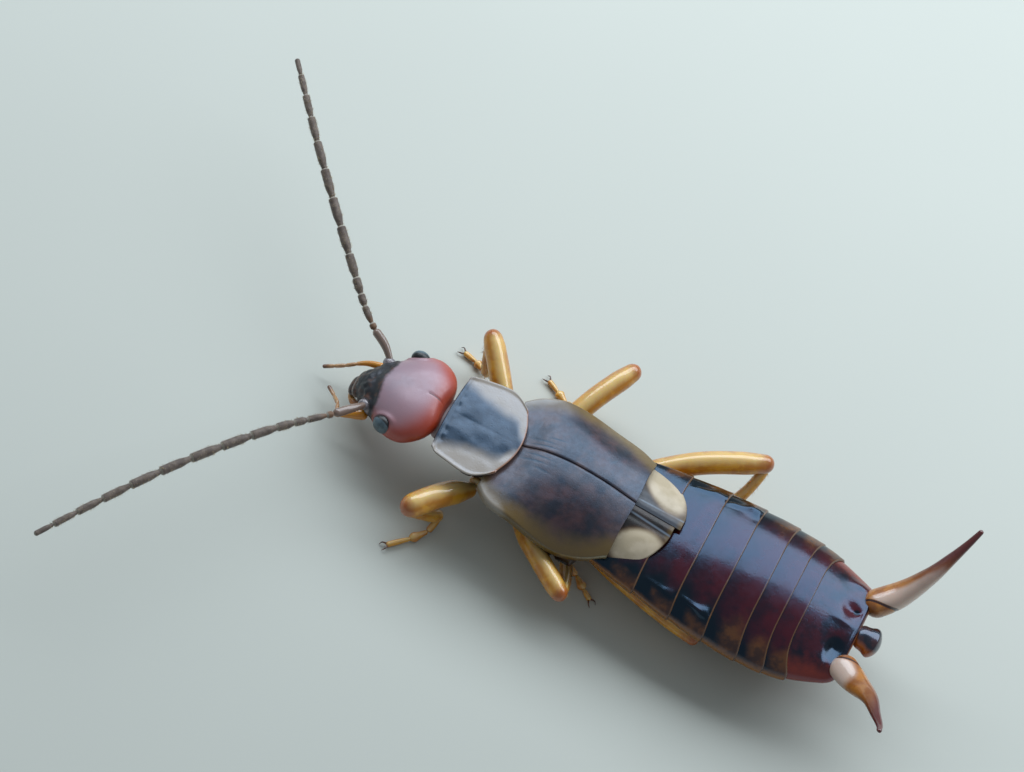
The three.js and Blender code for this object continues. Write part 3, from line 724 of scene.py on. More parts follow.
# Shared settings: the blue gloss of dark shell, a clear polish, and the glow of thin shell over flesh
SHEEN = {"Specular_IOR_Level": 0.7, "Specular_Tint": (0.32, 0.6, 1.0, 1.0)}
POLISH = {"Coat_Weight": 0.9, "Coat_Roughness": 0.08}
FLESH = {"Subsurface_Weight": 0.3, "Subsurface_Radius": (1.0, 0.5, 0.12), "Subsurface_Scale": 0.14 * MM}
FINISH = {
    "head": shell("head_red_shell", head_colour, (0.035, 0.1, 0.4), head_coat, Roughness=0.5, IOR=1.6,
                  Specular_IOR_Level=0.6, Specular_Tint=(0.78, 0.86, 1.0, 1.0), Coat_Roughness=0.34,
                  Coat_IOR=1.6),
    "mouth": shell("mouth_dark_shell", mouth_colour, (0.05, 0.3, 0.5), Roughness=0.3, **POLISH),
    "socket": shell("socket_grey", socket_colour, (0.04, 0.2, 0.2), Roughness=0.4, **POLISH),
    "neck": shell("neck_skin", neck_colour, (0.04, 0.3, 0.2), Roughness=0.55),
    "under": shell("underside_shell", under_colour, (0.05, 0.2, 0.5), Roughness=0.35, Coat_Weight=0.4,
                   Coat_Roughness=0.2),
    "eye": shell("eye_facets", eye_colour, (0.02, 0.05, 0.2), Roughness=0.45, Coat_Weight=0.3,
                 Coat_Roughness=0.3),
    "feeler": shell("feeler_brown", feeler_colour, (0.02, 0.3, 0.3), Roughness=0.6, Sheen_Weight=0.5,
                    Sheen_Roughness=0.4),
    "scape": shell("scape_amber", scape_colour, (0.03, 0.15, 0.4), Roughness=0.35, **POLISH),
    "amber": shell("leg_amber", amber_colour, (0.04, 0.1, 0.4), Roughness=0.34, **POLISH, **FLESH),
    "palp": shell("palp_amber", palp_colour, (0.03, 0.1, 0.3), Roughness=0.4, **POLISH, **FLESH),
    "shield": shell("shield_shell", shield_colour, (0.05, 0.16, 0.8), Roughness=0.4, **SHEEN, Coat_Weight=0.4,
                    Coat_Roughness=0.2),
    "tegmen": shell("wing_case_leather", tegmen_colour, (0.03, 0.12, 0.6), Roughness=0.4,
                    Specular_IOR_Level=0.8, Specular_Tint=(0.42, 0.68, 1.0, 1.0), Coat_Weight=0.2,
                    Coat_Roughness=0.22),
    "wing_tip": shell("wing_tip_ivory", wing_tip_colour, (0.03, 0.1, 0.4), Roughness=0.42,
                      Specular_IOR_Level=0.35, Coat_Weight=0.2, Coat_Roughness=0.2),
    "abdomen": shell("abdomen_polished", abdomen_colour, (0.05, 0.06, 0.6), Roughness=0.2, **SHEEN,
                     Coat_Weight=0.1, Coat_Roughness=0.08),
    "last_ring": shell("last_ring_polished", last_ring_colour, (0.05, 0.12, 0.6), Roughness=0.22, **SHEEN,
                       Coat_Weight=0.2, Coat_Roughness=0.08),
    "knob": shell("knob_polished", knob_colour, (0.05, 0.08, 0.5), Roughness=0.25, **SHEEN, Coat_Weight=0.8,
                  Coat_Roughness=0.06),
    "forceps": shell("forceps_shell", forceps_colour, (0.03, 0.1, 0.4), Roughness=0.33, **POLISH,
                     Subsurface_Weight=0.2, Subsurface_Radius=(1.0, 0.5, 0.3), Subsurface_Scale=0.1 * MM),
    "hair": shell("fine_hair", hair_colour, Roughness=0.5),
    "claw": shell("claw_brown", claw_colour, Roughness=0.35, **POLISH),
}


# Head


def from_head(point):
    """From the head's own axes to the animal's"""
    return Matrix.Rotation(HEAD_SLOPE, 3, "Y") @ Vector(point) + HEAD_CENTRE


def segment_distance(x, y, start, end):
    """Distance in the plane from a point to a straight line between two others"""
    run = (end[0] - start[0], end[1] - start[1])
    t = ((x - start[0]) * run[0] + (y - start[1]) * run[1]) / (run[0] ** 2 + run[1] ** 2)
    t = min(max(t, 0.0), 1.0)
    return math.hypot(x - start[0] - t * run[0], y - start[1] - t * run[1])


def head_point(v):
    """The capsule: two round lobes behind, sutures on top, flat face in front, sockets of the feelers"""
    narrow = HEAD_LOBES - HEAD_NARROWING * smooth(v.x, -0.5, 1)
    ring = math.sqrt(max(1 - v.x**2, 0))
    fuller = ring**-HEAD_FULLNESS if ring > 0.001 else 1
    across = v.y * HEAD_HALF_WIDTH * narrow * fuller
    notch = HEAD_NOTCH * max(-v.x, 0) ** 3 * hill(across, 0, 0.45)
    height = v.z * (HEAD_RISE if v.z > 0 else HEAD_DEPTH) * fuller
    x, y = v.x * HEAD_HALF_LENGTH + notch, abs(across)
    top = smooth(v.z, 0, 0.4)
    spot = Vector((x, y, height))
    crown = segment_distance(x, y, *CROWN_LINE)
    brow = segment_distance(x, y, *BROW_LINE)
    socket = (spot - SOCKET_PLACE).length
    orbit = Vector([far / half for far, half in zip(spot - EYE_PLACE, ORBIT_HALF_SIZE)]).length
    medial = smooth(EYE_PLACE.y - y, -0.05, 0.12)
    relief = (
        -0.015 * top * hill(crown, 0, 0.03)
        + 0.03 * top * hill(x, -0.5, 0.35) * hill(y, 0.5, 0.35)
        - 0.03 * top * hill(brow, 0, 0.1)
        - 0.05 * hill(socket, 0, 0.13)
        + 0.04 * hill(socket, 0.2, 0.05)
        + (0.012 + 0.035 * medial) * hill(orbit, 1.0, 0.22)
        + 0.03 * smooth(v.x, 0.4, 0.65) * noise.noise(Vector((x, across, height)) * 8)
    )
    masks = {
        # Top of the head, where the painted reflection goes
        "bloom": within(v.z - 0.52 + 0.04 * v.x, 0.6) * (1 - smooth(v.x, 0.3, 0.5)),
        "glow": within(-0.35 - x * 0.6 + 0.4 * y + 0.3 * (1 - top), 1.0),
        "front": within(x - 0.31 - 0.1 * y * y - 0.04 * math.cos(6 * across), 0.35) * smooth(v.z, -0.5, 0.0),
        "socket": within(0.19 - socket, 0.2),
        "suture": within(0.012 - crown, 0.06) * top,
    }
    return from_head(Vector((x, across, height)) + relief * v), masks


def make_head():
    capsule = rounded(sides=200, rings=130, place=head_point)
    deliver(capsule, "head_capsule", FINISH["head"], "head_shell", "head")
    for name, side in SIDES.items():
        ahead, aside, high = SOCKET_RING_PLACE
        socket = egg((ahead, side * aside, high), SOCKET_RING_HALF_SIZE, sides=32, rings=20)
        deliver(socket, f"feeler_socket_{name}", FINISH["socket"], "head_shell")
        deliver(eye_shape(side), f"compound_eye_{name}", FINISH["eye"], "eye", f"eye_{name}")


def eye_shape(side):
    """A domed eye of small lenses in rows"""
    lenses = bmesh.new()
    bmesh.ops.create_icosphere(lenses, subdivisions=4, radius=1)
    centres = kdtree.KDTree(len(lenses.verts))
    for vert in lenses.verts:
        centres.insert(vert.co, vert.index)
    centres.balance()
    lenses.free()
    bm = bmesh.new()
    bmesh.ops.create_icosphere(bm, subdivisions=6, radius=1)
    hidden = [v for v in bm.verts if v.co.y < EYE_CUT]
    bmesh.ops.delete(bm, geom=hidden, context="VERTS")
    bmesh.ops.holes_fill(bm, edges=bm.edges[:], sides=0)

    def place(co):
        spacing = centres.find(co)[2]
        swell = 1 + LENS_SWELL * (1 - min(spacing / LENS_SPACING, 1) ** 2)
        point = Vector([c * half * swell for c, half in zip(co, EYE_HALF_SIZE)]) + EYE_PLACE
        masks = {"rim": within(0.12 - co.y - 0.4 * co.x, 0.4)}
        return from_head((point.x, side * point.y, point.z)), masks

    return laid(bm, place)


def egg(centre, half, sides=48, rings=32, boxy=1.0):
    """A rounded lump on the head's own axes; boxy under 1 makes it fuller"""

    def place(v):
        full = Vector([math.copysign(abs(c) ** boxy, c) for c in v])
        return from_head(Vector(centre) + Vector([f * h for f, h in zip(full, half)])), {}

    return rounded(sides, rings, place)


def joined(*parts):
    """Several shapes as one"""
    whole = bmesh.new()
    for part in parts:
        mesh = bpy.data.meshes.new("part")
        part.to_mesh(mesh)
        part.free()
        whole.from_mesh(mesh)
        bpy.data.meshes.remove(mesh)
    return whole


def head_limb(route, radius, flat=1.0):
    points = [from_head(p) for p in route]
    return limb(points, lambda t, turn: (radius(t), radius(t) * flat, {}), along=28, around=18)


def lip_palp_radius(t):
    """Three swollen joints"""
    return 0.05 + 0.008 * math.cos(math.tau * 3 * t)


def make_mouth():
    lips = joined(*[egg(centre, half, boxy=boxy) for centre, half, boxy in LIPS.values()])
    deliver(lips, "lips", FINISH["mouth"], "dark_cuticle", "mouth")
    for name, side in SIDES.items():
        jaw = head_limb([(x, side * y, z) for x, y, z in JAW], lambda t: 0.16 - 0.11 * t, flat=0.8)
        deliver(jaw, f"jaw_{name}", FINISH["scape"], "amber_cuticle")
        small_palp = head_limb([(x, side * y, z) for x, y, z in LIP_PALP], lip_palp_radius)
        deliver(small_palp, f"lip_palp_{name}", FINISH["palp"], "amber_cuticle")


def make_palps():
    for name in SIDES:
        thick = PALP_BASE_RADIUS[name]

        def section(t, turn):
            nearest = min(abs(t - joint) for joint in PALP_JOINTS)
            radius = blend(thick, 0.05, smooth(t, 0.05, 0.5)) - 0.012 * hill(nearest, 0, 0.02)
            return radius, radius, {"tip": within(t - 0.9, 0.2), "amber": within(0.42 - t, 0.3)}

        shape = limb(PALPS[name], section, along=90, around=20)
        deliver(shape, f"jaw_palp_{name}", FINISH["palp"], "amber_cuticle", f"palp_{name}")


def feeler_section(total):
    """Thickness and masks of a feeler by share of its length: each joint widens to its far end"""
    ends = []
    reached = 0.0
    for length, radius in FEELER_JOINTS:
        ends.append((reached, reached + length, radius))
        reached += length
    stretch = total / reached

    def section(t, turn):
        place = t * reached
        start, end, radius = next(e for e in ends if place <= e[1] or e is ends[-1])
        s = (place - start) / (end - start)
        room = (end - start) * stretch
        profile = 0.66 + 0.34 * smooth(s, 0.02, 0.4)
        neck = min(s * room, (1 - s) * room)
        pinch = 0.5 + 0.5 * round_end(neck, 0.045)
        wide = radius * profile * pinch
        return wide, wide, {
            "joint": within(0.03 - (1 - s) * room, 0.06) + within(0.012 - s * room, 0.05),
            "amber": within(0.32 - t * total, 0.4),
        }

    return section


def make_feelers():
    for name, side in SIDES.items():

        def base(t, turn):
            radius = blend(0.075, 0.11, smooth(t, 0.05, 0.7)) - 0.02 * smooth(t, 0.9, 1)
            # Grey-pink painted highlight along the top
            return radius, radius, {"top": within(math.sin(turn) * 0.5 + 0.05, 0.9)}

        scape = limb(SCAPES[name], base, along=60, around=28)
        deliver(scape, f"feeler_base_{name}", FINISH["scape"], "amber_cuticle", f"scape_{name}")
        total = route_through(FEELERS[name])[1]
        section = feeler_section(total)
        shape = limb(FEELERS[name], section, along=420, around=20, even=True)
        nodes = [f"antenna_{name}_inner", f"antenna_{name}_outer"]
        fuzz = coat(limb_form(FEELERS[name], section, even=True), **FEELER_FUZZ)
        deliver(fuzz, f"feeler_fuzz_{name}", FINISH["hair"], "feeler")
        deliver(shape, f"feeler_{name}", FINISH["feeler"], "feeler", *nodes)


# Thorax


def make_neck():
    def section(t, turn):
        fold = math.cos(math.tau * NECK_FOLDS * t)
        wide = blend(0.92, 0.62, t) + 0.03 * fold
        high = blend(0.42, 0.36, t) + 0.025 * fold
        return wide, high, {"fold": within(fold * 0.25 - 0.02, 0.6)}

    shape = limb(NECK_ROUTE, section, along=60, around=72)
    deliver(shape, "neck_skin_folds", FINISH["neck"], "dark_cuticle", "neck")


def pronotum_point(u, v):
    """The shield: raised front rim with pits, two swellings, a groove between them, thin upturned sides"""
    across = 2 * v - 1
    half = pronotum_half(u)
    y = across * half
    front = PRONOTUM_FRONT - 0.05 * y * y
    rear = PRONOTUM_REAR + PRONOTUM_REAR_ARC * y * y
    x = blend(front, rear, u)
    side = half - abs(y)
    ahead = front - x
    behind = x - rear
    z = PRONOTUM_TOP - 0.05 * (x - PRONOTUM_REAR) - 0.05 * y * y
    z += 0.035 * hill(ahead, 0.05, 0.05)
    z -= 0.014 * hill(ahead, 0.16, 0.06) * (0.7 + 0.9 * noise.noise(Vector((2.0, y * 7, 5.0))))
    z += 0.02 * hill(x, 3.85, 0.35) * hill(abs(y), 0.38, 0.3)
    z -= 0.002 * hill(y, 0, 0.05) * smooth(x, 2.5, 2.9) * (1 - smooth(x, 3.9, 4.2))
    z -= 0.008 * hill(abs(y), shield_dark_half(x) + 0.08, 0.16)
    z += 0.03 * hill(side, 0.03, 0.06)
    z += 0.006 * noise.noise(Vector((x, y, 0)) * 4)
    z -= 0.03 * (1 - round_end(min(side, behind) + 0.004, 0.05))
    masks = {
        "cream": within(abs(y) - shield_dark_half(x), 0.5),
        "rim": within(0.035 - behind, 0.1),
        "spot": within(0.1 - math.hypot((x - 2.64) / 1.3, y - 0.04), 0.2),
    }
    return Vector((x, y, z)), masks


def make_pronotum():
    shape = wrapped(columns=120, rows=150, place=pronotum_point)
    thicken(shape, SHIELD_THICKNESS)
    deliver(shape, "pronotum_shield", FINISH["shield"], "shield", "pronotum")


def thicken(bm, thickness):
    """Makes a plate of a sheet that looks up"""
    bmesh.ops.recalc_face_normals(bm, faces=bm.faces[:])
    lift = sum(face.normal.z for face in bm.faces)
    if lift < 0:
        bmesh.ops.reverse_faces(bm, faces=bm.faces[:])
    bmesh.ops.solidify(bm, geom=bm.faces[:], thickness=thickness)


def under_ring(front, rear, half_width, top, belly, plates, blunt=None):
    """A closed length of the thorax with plate borders across its underside"""

    def section(t, turn):
        x = blend(front, rear, t)
        groove = max(hill(t, plate, 0.02) for plate in plates)
        rise = math.sin(turn)
        high = top(x) - THORAX_SIDE if rise > 0 else THORAX_SIDE - belly
        low = smooth(-rise, 0.1, 0.5)
        keel = 0.04 * low * hill(math.cos(turn), 0, 0.12)
        scale = 1 - 0.05 * groove
        return half_width(x) * scale, (high + keel) * scale, {"joint": within(groove - 0.6, 1.0) * low}

    route = [(x, 0, THORAX_SIDE) for x in (front, blend(front, rear, 0.5), rear)]
    return limb(route, section, along=80, around=64, blunt=blunt)


def make_thorax():
    collar = under_ring(*COLLAR_ENDS, lambda x: COLLAR_HALF_WIDTH, collar_top, COLLAR_BELLY, COLLAR_PLATES)
    deliver(collar, "prothorax_underside", FINISH["under"], "dark_cuticle", "prothorax")
    chest = under_ring(*CHEST_ENDS, chest_half_width, chest_top, CHEST_BELLY, CHEST_PLATES, CHEST_ROUNDING)
    deliver(chest, "wing_thorax_underside", FINISH["under"], "dark_cuticle", "pterothorax")


# Wing cases and wing tips


def tegmen_point(u, v):
    """Left wing case: flat along the seam, sloping to an outer edge that rolls under"""
    x = blend(TEGMEN_FRONT, TEGMEN_REAR + 0.03 * hill(v, 0.5, 0.3) - 0.02, u)
    outer = tegmen_outer(x)
    drop = tegmen_drop(x)
    inner = outer - TEGMEN_ROLL * 0.5
    reach = min(v / TEGMEN_FLAT_SHARE, 1)
    y = CASE_SEAM + reach * (inner - CASE_SEAM)
    aside = y / TEGMEN_HALF_WIDTH
    z = tegmen_ridge(x) - drop * aside**TEGMEN_SIDE_BEND
    if v > TEGMEN_FLAT_SHARE:
        lean = math.atan(drop * TEGMEN_SIDE_BEND / TEGMEN_HALF_WIDTH * aside ** (TEGMEN_SIDE_BEND - 1))
        rolled = (v - TEGMEN_FLAT_SHARE) / (TEGMEN_ROLL_SHARE - TEGMEN_FLAT_SHARE)
        bent = blend(lean, TEGMEN_ROLL_ANGLE, min(rolled, 1))
        y += TEGMEN_ROLL * (math.sin(bent) - math.sin(lean))
        z += TEGMEN_ROLL * (math.cos(bent) - math.cos(lean))
        hang = TEGMEN_FLAP * max((v - TEGMEN_ROLL_SHARE) / (1 - TEGMEN_ROLL_SHARE), 0)
        y += hang * math.cos(bent)
        z -= hang * math.sin(bent)
    streak = max(
        hill(y, 0.14 + 0.06 * (2.2 - x), 0.03) * hill(x, 1.95, 0.45),
        hill(y, 0.3, 0.035) * hill(x, 2.05, 0.4),
        0.8 * hill(y, 0.48 + 0.1 * (1.6 - x), 0.04) * hill(x, 1.75, 0.35),
    )
    z -= 0.003 * streak
    z += 0.008 * noise.noise(Vector((x * 1.2, y * 2.5, 3.0)))
    z -= 0.02 * hill(y, 0.0, 0.03)
    masks = {
        "olive": within(y - outer + 0.3 + 0.1 * hill(x, -0.3, 0.5), 0.6),
        "cream": within(y - outer + 0.2 * smooth(x, 1.85, 2.4) - 0.06, 0.3) * smooth(x, 1.7, 2.1),
        # middle: where the painted shade of the wing case lies
        "middle": within(0.62 - math.hypot((x - 0.75) / 1.6, y - 0.95), 0.7),
        "rim": within(0.03 - abs(y - outer - 0.01), 0.08) * (1 - smooth(x, 0.3, 0.9)),
        "streak": max(within(streak - 0.55, 1.0), within(0.012 - y, 0.05)),
    }
    return Vector((x, y, z)), masks


def wing_tip_point(name, u, v):
    """A wing tip, as on the left: a rounded leaf behind the wing case, with a pale oval"""
    end = WING_TIP_REACH[name]
    x = blend(TEGMEN_REAR + 0.12, end, u)
    s = max((TEGMEN_REAR - x) / (TEGMEN_REAR - end), 0)
    outer = WING_TIP_HALF_WIDTH * math.sqrt(max(1 - (WING_TIP_END_SHARE * s) ** WING_TIP_ROUNDNESS, 0))
    y = CASE_SEAM + v * (outer - CASE_SEAM)
    z = WING_TIP_TOP - WING_TIP_FALL * (TEGMEN_REAR - x)
    z -= WING_TIP_SIDE_DROP * (y / WING_TIP_SIDE_REACH) ** WING_TIP_SIDE_BEND
    edge = outer - y
    z -= 0.05 * (1 - round_end(edge + 0.003, 0.06))
    z += 0.012 * hill(y, 0.12, 0.08) - 0.012 * hill(y, 0.3, 0.08)
    spot = OVALS[name]
    dx, dy = x - spot["centre"][0], y - spot["centre"][1]
    along = dx * spot["axis"][0] + dy * spot["axis"][1]
    aside = -dx * spot["axis"][1] + dy * spot["axis"][0]
    oval = 1 - math.hypot(along / spot["half"][0], aside / spot["half"][1])
    z += 0.025 * smooth(oval, 0, 0.6)
    masks = {
        "oval": within(oval * 0.4, 0.4),
        "border": within(oval * 0.4 + 0.05, 0.3),
        "rim": max(within(0.035 - edge, 0.12), within(end + 0.1 - x, 0.3)),
        "line": within(0.02 - abs(y - 0.2 - 0.06 * s), 0.08),
        # Inner part of the right tip only: painted reflection
        "grey": within(0.5 - y, 0.3) if name == "right" else 0.0,
    }
    return Vector((x, y, z)), masks


def sway_seam(bm):
    """Bends the seam between the wing cases a little to the right, as it runs in life"""
    for vert in bm.verts:
        vert.co.y += seam_sway(vert.co.x) * max(1 - abs(vert.co.y) / SWAY_REACH, 0)


def make_wings():
    for name, side in SIDES.items():
        case = wrapped(columns=150, rows=90, place=tegmen_point)
        thicken(case, TEGMEN_THICKNESS)
        tip_point = functools.partial(wing_tip_point, name)
        tip = wrapped(columns=70, rows=70, place=tip_point)
        thicken(tip, TEGMEN_THICKNESS)
        if side < 0:
            mirror(case)
            mirror(tip)
        sway_seam(case)
        deliver(case, f"wing_case_{name}", FINISH["tegmen"], "wing_case", f"tegmen_{name}")
        deliver(tip, f"wing_tip_{name}", FINISH["wing_tip"], "wing_tip", f"hind_wing_tip_{name}")


# Abdomen


def trunk_point(x, turn, inset):
    """A point of the abdomen's skin; a quarter turn is its top, no turn its left side"""
    level = trunk_side(x)
    rise = math.sin(turn)
    height = trunk_top(x) - level if rise > 0 else level - trunk_belly(x)
    return Vector((x, (trunk_half_width(x) - inset) * math.cos(turn), level + (height - inset) * rise))


def ring_relief(number, x, turn):
    """How far the shell of a ring stands out, and how much painted shade lies in its pits"""
    point = trunk_point(x, turn, 0)
    sideways = abs(math.cos(turn))
    lower = -math.sin(turn)
    out = -0.03 * hill(lower, 0.42, 0.06) * smooth(sideways, 0.3, 0.6)
    out += 0.02 * smooth(0.42 - lower, 0, 0.08)
    out += 0.004 * noise.noise(Vector((x * 3, point.y * 3, point.z * 3)))
    pit = 0.0
    if number in TUBERCLES:
        bump_x, bump_y, high = TUBERCLES[number]
        ahead, aside = x - bump_x, abs(point.y) - bump_y
        near = math.hypot(ahead / 1.9, aside) if point.z > TUBERCLE_LEVEL else FAR
        out += high * hill(near, 0, 0.12)
        fold = abs(aside + 0.1 * ahead) if point.z > FOLD_LEVEL else FAR
        out += 0.5 * high * hill(fold, 0, 0.05) * smooth(ahead, 0, 0.2) * (1 - smooth(ahead, 0.5, 0.8))
        dip = math.hypot(ahead + 0.16, aside + 0.04) if point.z > FOLD_LEVEL else FAR
        out -= 0.6 * high * hill(dip, 0, 0.06)
        # Black painted shade in the dip before the tubercle
        pit = within(0.07 - dip, 0.12)
    return out, pit


def ring_masks(number, x, turn, behind, length):
    rise = math.sin(turn)
    share = behind / length
    higher = DARK_SIDES.get(number, 0)
    dark = within(rise - 0.45, 0.5) * min(8 * higher, 1)
    return {
        "margin": within(0.006 - behind, 0.05),
        "red": within(0.5 - share, 1.1),
        "side": within(0.62 + higher - rise + 0.06 * math.sin(9 * x), 0.5),
        "patch": max(within(share - 0.4, 0.5), dark) * (1 - smooth(-rise, 0.0, 0.4)),
        "edge": within(0.14 - rise, 0.4),
    }


def ring_shape(number, front, rear, bow):
    """A thin closed shell: outer skin, rolled hind edge, inner skin, front edge; bow curves its margin"""
    outer_steps, lip_steps, inner_steps = 40, 6, 8
    steps = outer_steps + lip_steps + inner_steps + 2
    length = front - rear

    def place(u, v):
        step = round(u * steps)
        turn = math.tau * v
        if step <= outer_steps:
            s, depth = step / outer_steps, 0.0
        elif step <= outer_steps + lip_steps:
            bend = math.pi * (step - outer_steps) / lip_steps
            s, depth = 1 + 0.5 * RING_WALL / length * math.sin(bend), RING_WALL * (1 - math.cos(bend)) / 2
        elif step <= outer_steps + lip_steps + inner_steps:
            s, depth = 1 - (step - outer_steps - lip_steps) / inner_steps, RING_WALL
        else:
            s, depth = 0.0, RING_WALL * (steps - step) / 2
        margin = rear + bow * smooth(math.sin(turn), 0.1, 0.95)
        x = blend(front, margin, s)
        behind = x - margin
        flare = RING_INSET * (1 - min(s, 1)) ** 1.5 - 0.006 * smooth(s, 0.85, 1)
        relief, pit = ring_relief(number, x, turn)
        if depth:
            relief *= 0.5
        values = ring_masks(number, x, turn, behind, length)
        values["pit"] = pit
        return trunk_point(x, turn, flare + depth - relief), values

    return wrapped(columns=steps, rows=200, place=place)


def make_abdomen():
    start = ABDOMEN_START
    for number, rear, bow in zip(RING_NUMBERS, ABDOMEN_MARGINS, MARGIN_BOWS):
        shape = ring_shape(number, start, rear, bow)
        deliver(shape, f"abdomen_ring_{number}", FINISH["abdomen"], "abdomen_shell", f"abdomen_{number}")
        start = rear + bow + RING_TUCK


def dent(x, y, centre_x, centre_y, long, wide):
    return math.exp(-(((x - centre_x) / long) ** 2) - ((y - centre_y) / wide) ** 2)


def last_ring_relief(x, y, rise):
    """Relief of the last ring: a long dent with a pit, a ridge, a deep hollow, side lumps and a hind rim"""
    top = smooth(rise, 0.15, 0.55)
    flank = smooth(rise, 0.0, 0.3)
    out = 0.035 * top * hill(x, -6.57, 0.04)
    for high, *where in LAST_RING_DENTS.values():
        out += high * top * dent(x, y, *where)
    out += 0.05 * flank * dent(x, abs(y), -6.25, 1.15, 0.3, 0.14)
    out += 0.012 * flank * math.sin(26 * x + 4 * y) * dent(x, y, -6.2, 1.15, 0.3, 0.2)
    # Black painted shade in the pit of the long dent and in the deep hollow
    pits = max(
        within(0.08 - math.hypot(x + 6.4, y + 0.46), 0.12),
        within(0.25 - math.hypot(x + 6.3, (y - 0.72) / 1.25), 0.2),
    )
    red = within(0.22 - math.hypot((x + 6.27) / 1.4, y + 0.44), 0.3)
    return out, {"pit": pits * top, "red": red * top}


def make_last_ring():
    front, rear = ABDOMEN_MARGINS[-2] + MARGIN_BOWS[-2] + RING_TUCK, ABDOMEN_MARGINS[-1]
    front_steps, skin_steps, face_steps = 6, 90, 30
    steps = front_steps + skin_steps + face_steps

    def place(u, v):
        step = round(u * steps)
        turn = math.tau * v
        if step < front_steps:
            s, shrink = 0.0, step / front_steps
        elif step <= front_steps + skin_steps:
            s, shrink = (step - front_steps) / skin_steps, 1.0
        else:
            s, shrink = 1.0, (steps - step) / face_steps
        x = blend(front, rear, s)
        flare = RING_INSET * (1 - s) ** 1.5
        plain = trunk_point(x, turn, flare)
        out, hollows = last_ring_relief(x, plain.y, math.sin(turn))
        edge = 0.05 * (1 - round_end((1 - s) * (front - rear) + 0.002, 0.07))
        point = trunk_point(x, turn, flare - out + edge)
        centre = Vector((x, 0, trunk_side(x)))
        point = centre + (point - centre) * shrink
        if s == 1:
            point.x += LAST_FACE_HOLLOW * math.sin(math.pi * shrink)
        masks = {name: value if shrink == 1 else 0.0 for name, value in hollows.items()}
        masks["side"] = within(0.55 - math.sin(turn), 0.7) if s < 1 else 0.4
        masks["margin"] = within(0.03 - (x - rear), 0.1) if shrink == 1 else 0.3
        return point, masks

    shape = wrapped(columns=steps, rows=240, place=place)
    deliver(shape, "abdomen_ring_10", FINISH["last_ring"], "abdomen_shell", "abdomen_10")


def make_knob():
    """The small plate between the forceps: a narrow waist, then a broad shiny knob"""

    def place(v):
        t = (1 - v.x) / 2
        half = blend(*KNOB_HALF_WIDTHS, smooth(t, 0.45, 0.75))
        waist = 1 - 0.14 * hill(t, 0.4, 0.18)
        x = KNOB_FRONT - KNOB_LENGTH * t
        y = v.y * half * waist * 1.05
        z = KNOB_LEVEL - 0.04 * t + v.z * (KNOB_HALF_HEIGHT + 0.06 * hill(t, 0.85, 0.2))
        z += 0.03 * hill(t, 0.82, 0.1) * smooth(v.z, 0, 0.5)
        return Vector((x, y, z)), {"side": within(0.6 * v.y - 0.15 - 0.5 * v.z + 0.2 * (0.5 - t), 0.6)}

    shape = rounded(sides=80, rings=60, place=place)
    deliver(shape, "pygidium_knob", FINISH["knob"], "abdomen_shell", "pygidium")


def forceps_section(ivory_sheen_turn, ivory_sheen_end, ivory_sheen_faded):
    """Three-sided blade with an amber plate at its base, ivory, partly painted reflection, on one side,
    ending in a dark hook
    """

    def section(t, turn):
        base_end = 0.08 + 0.13 * math.cos(turn)
        ridge = 1 + 0.06 * math.cos(3 * (turn - 1.1))
        wide = (forceps_half_width(t) - 0.012 * hill(t, base_end, 0.015)) * ridge
        facing = math.cos(turn - ivory_sheen_turn)
        stretch = smooth(t, base_end, base_end + 0.03) * (1 - smooth(t, ivory_sheen_end, ivory_sheen_faded))
        masks = {
            "ivory": within(facing - 0.3, 0.9) * stretch,
            "tip": within(t - 0.5 - 0.12 * facing, 0.5),
            "seam": within(hill(t, base_end, 0.016) - 0.5, 1.0),
        }
        return wide, wide * 0.85, masks

    return section


def make_forceps():
    for name, side in SIDES.items():
        section = forceps_section(*FORCEPS_IVORY_AND_SHEEN[name])
        route = (*FORCEPS_ROUTE, FORCEPS_TIPS[name])
        shape = limb(route, section, along=220, around=56)
        if side < 0:
            mirror(shape)
        deliver(shape, f"pincer_{name}", FINISH["forceps"], "forceps", f"forceps_{name}")


# Legs


def leg_part(route, section, along=70):
    return limb(route, section, along, around=32)


def leg_masks(t, turn, knee_at, reach=0.08):
    """A painted highlight along the top, darker at the knee"""
    pale = 0.8 * within(math.sin(turn) - 0.8, 0.5)
    return {"pale": pale, "knee": within(reach - abs(t - knee_at), 0.2)}


def thigh_section(radius):
    def section(t, turn):
        swell = 0.6 + 0.4 * smooth(t, 0, 0.35) - 0.2 * smooth(t, 0.8, 1)
        keel = 1 + 0.035 * math.cos(4 * turn)
        wide = radius * swell * 0.9 * keel
        return wide, radius * swell * keel, leg_masks(t, turn, 1.0)

    return section


def shin_section(t, turn):
    radius = 0.15 + 0.03 * smooth(t, 0.4, 0.9) - 0.03 * hill(t, 0.05, 0.1)
    return radius * 0.92, radius, leg_masks(t, turn, 0.0)


def hip_section(t, turn):
    radius = 0.26 - 0.06 * t - 0.03 * hill(t, 0.62, 0.05)
    return radius, radius, leg_masks(t, turn, 0.65, 0.03)


def claw_section(t, turn):
    radius = CLAW_RADIUS * (1 - 0.75 * t)
    return radius, radius, {}


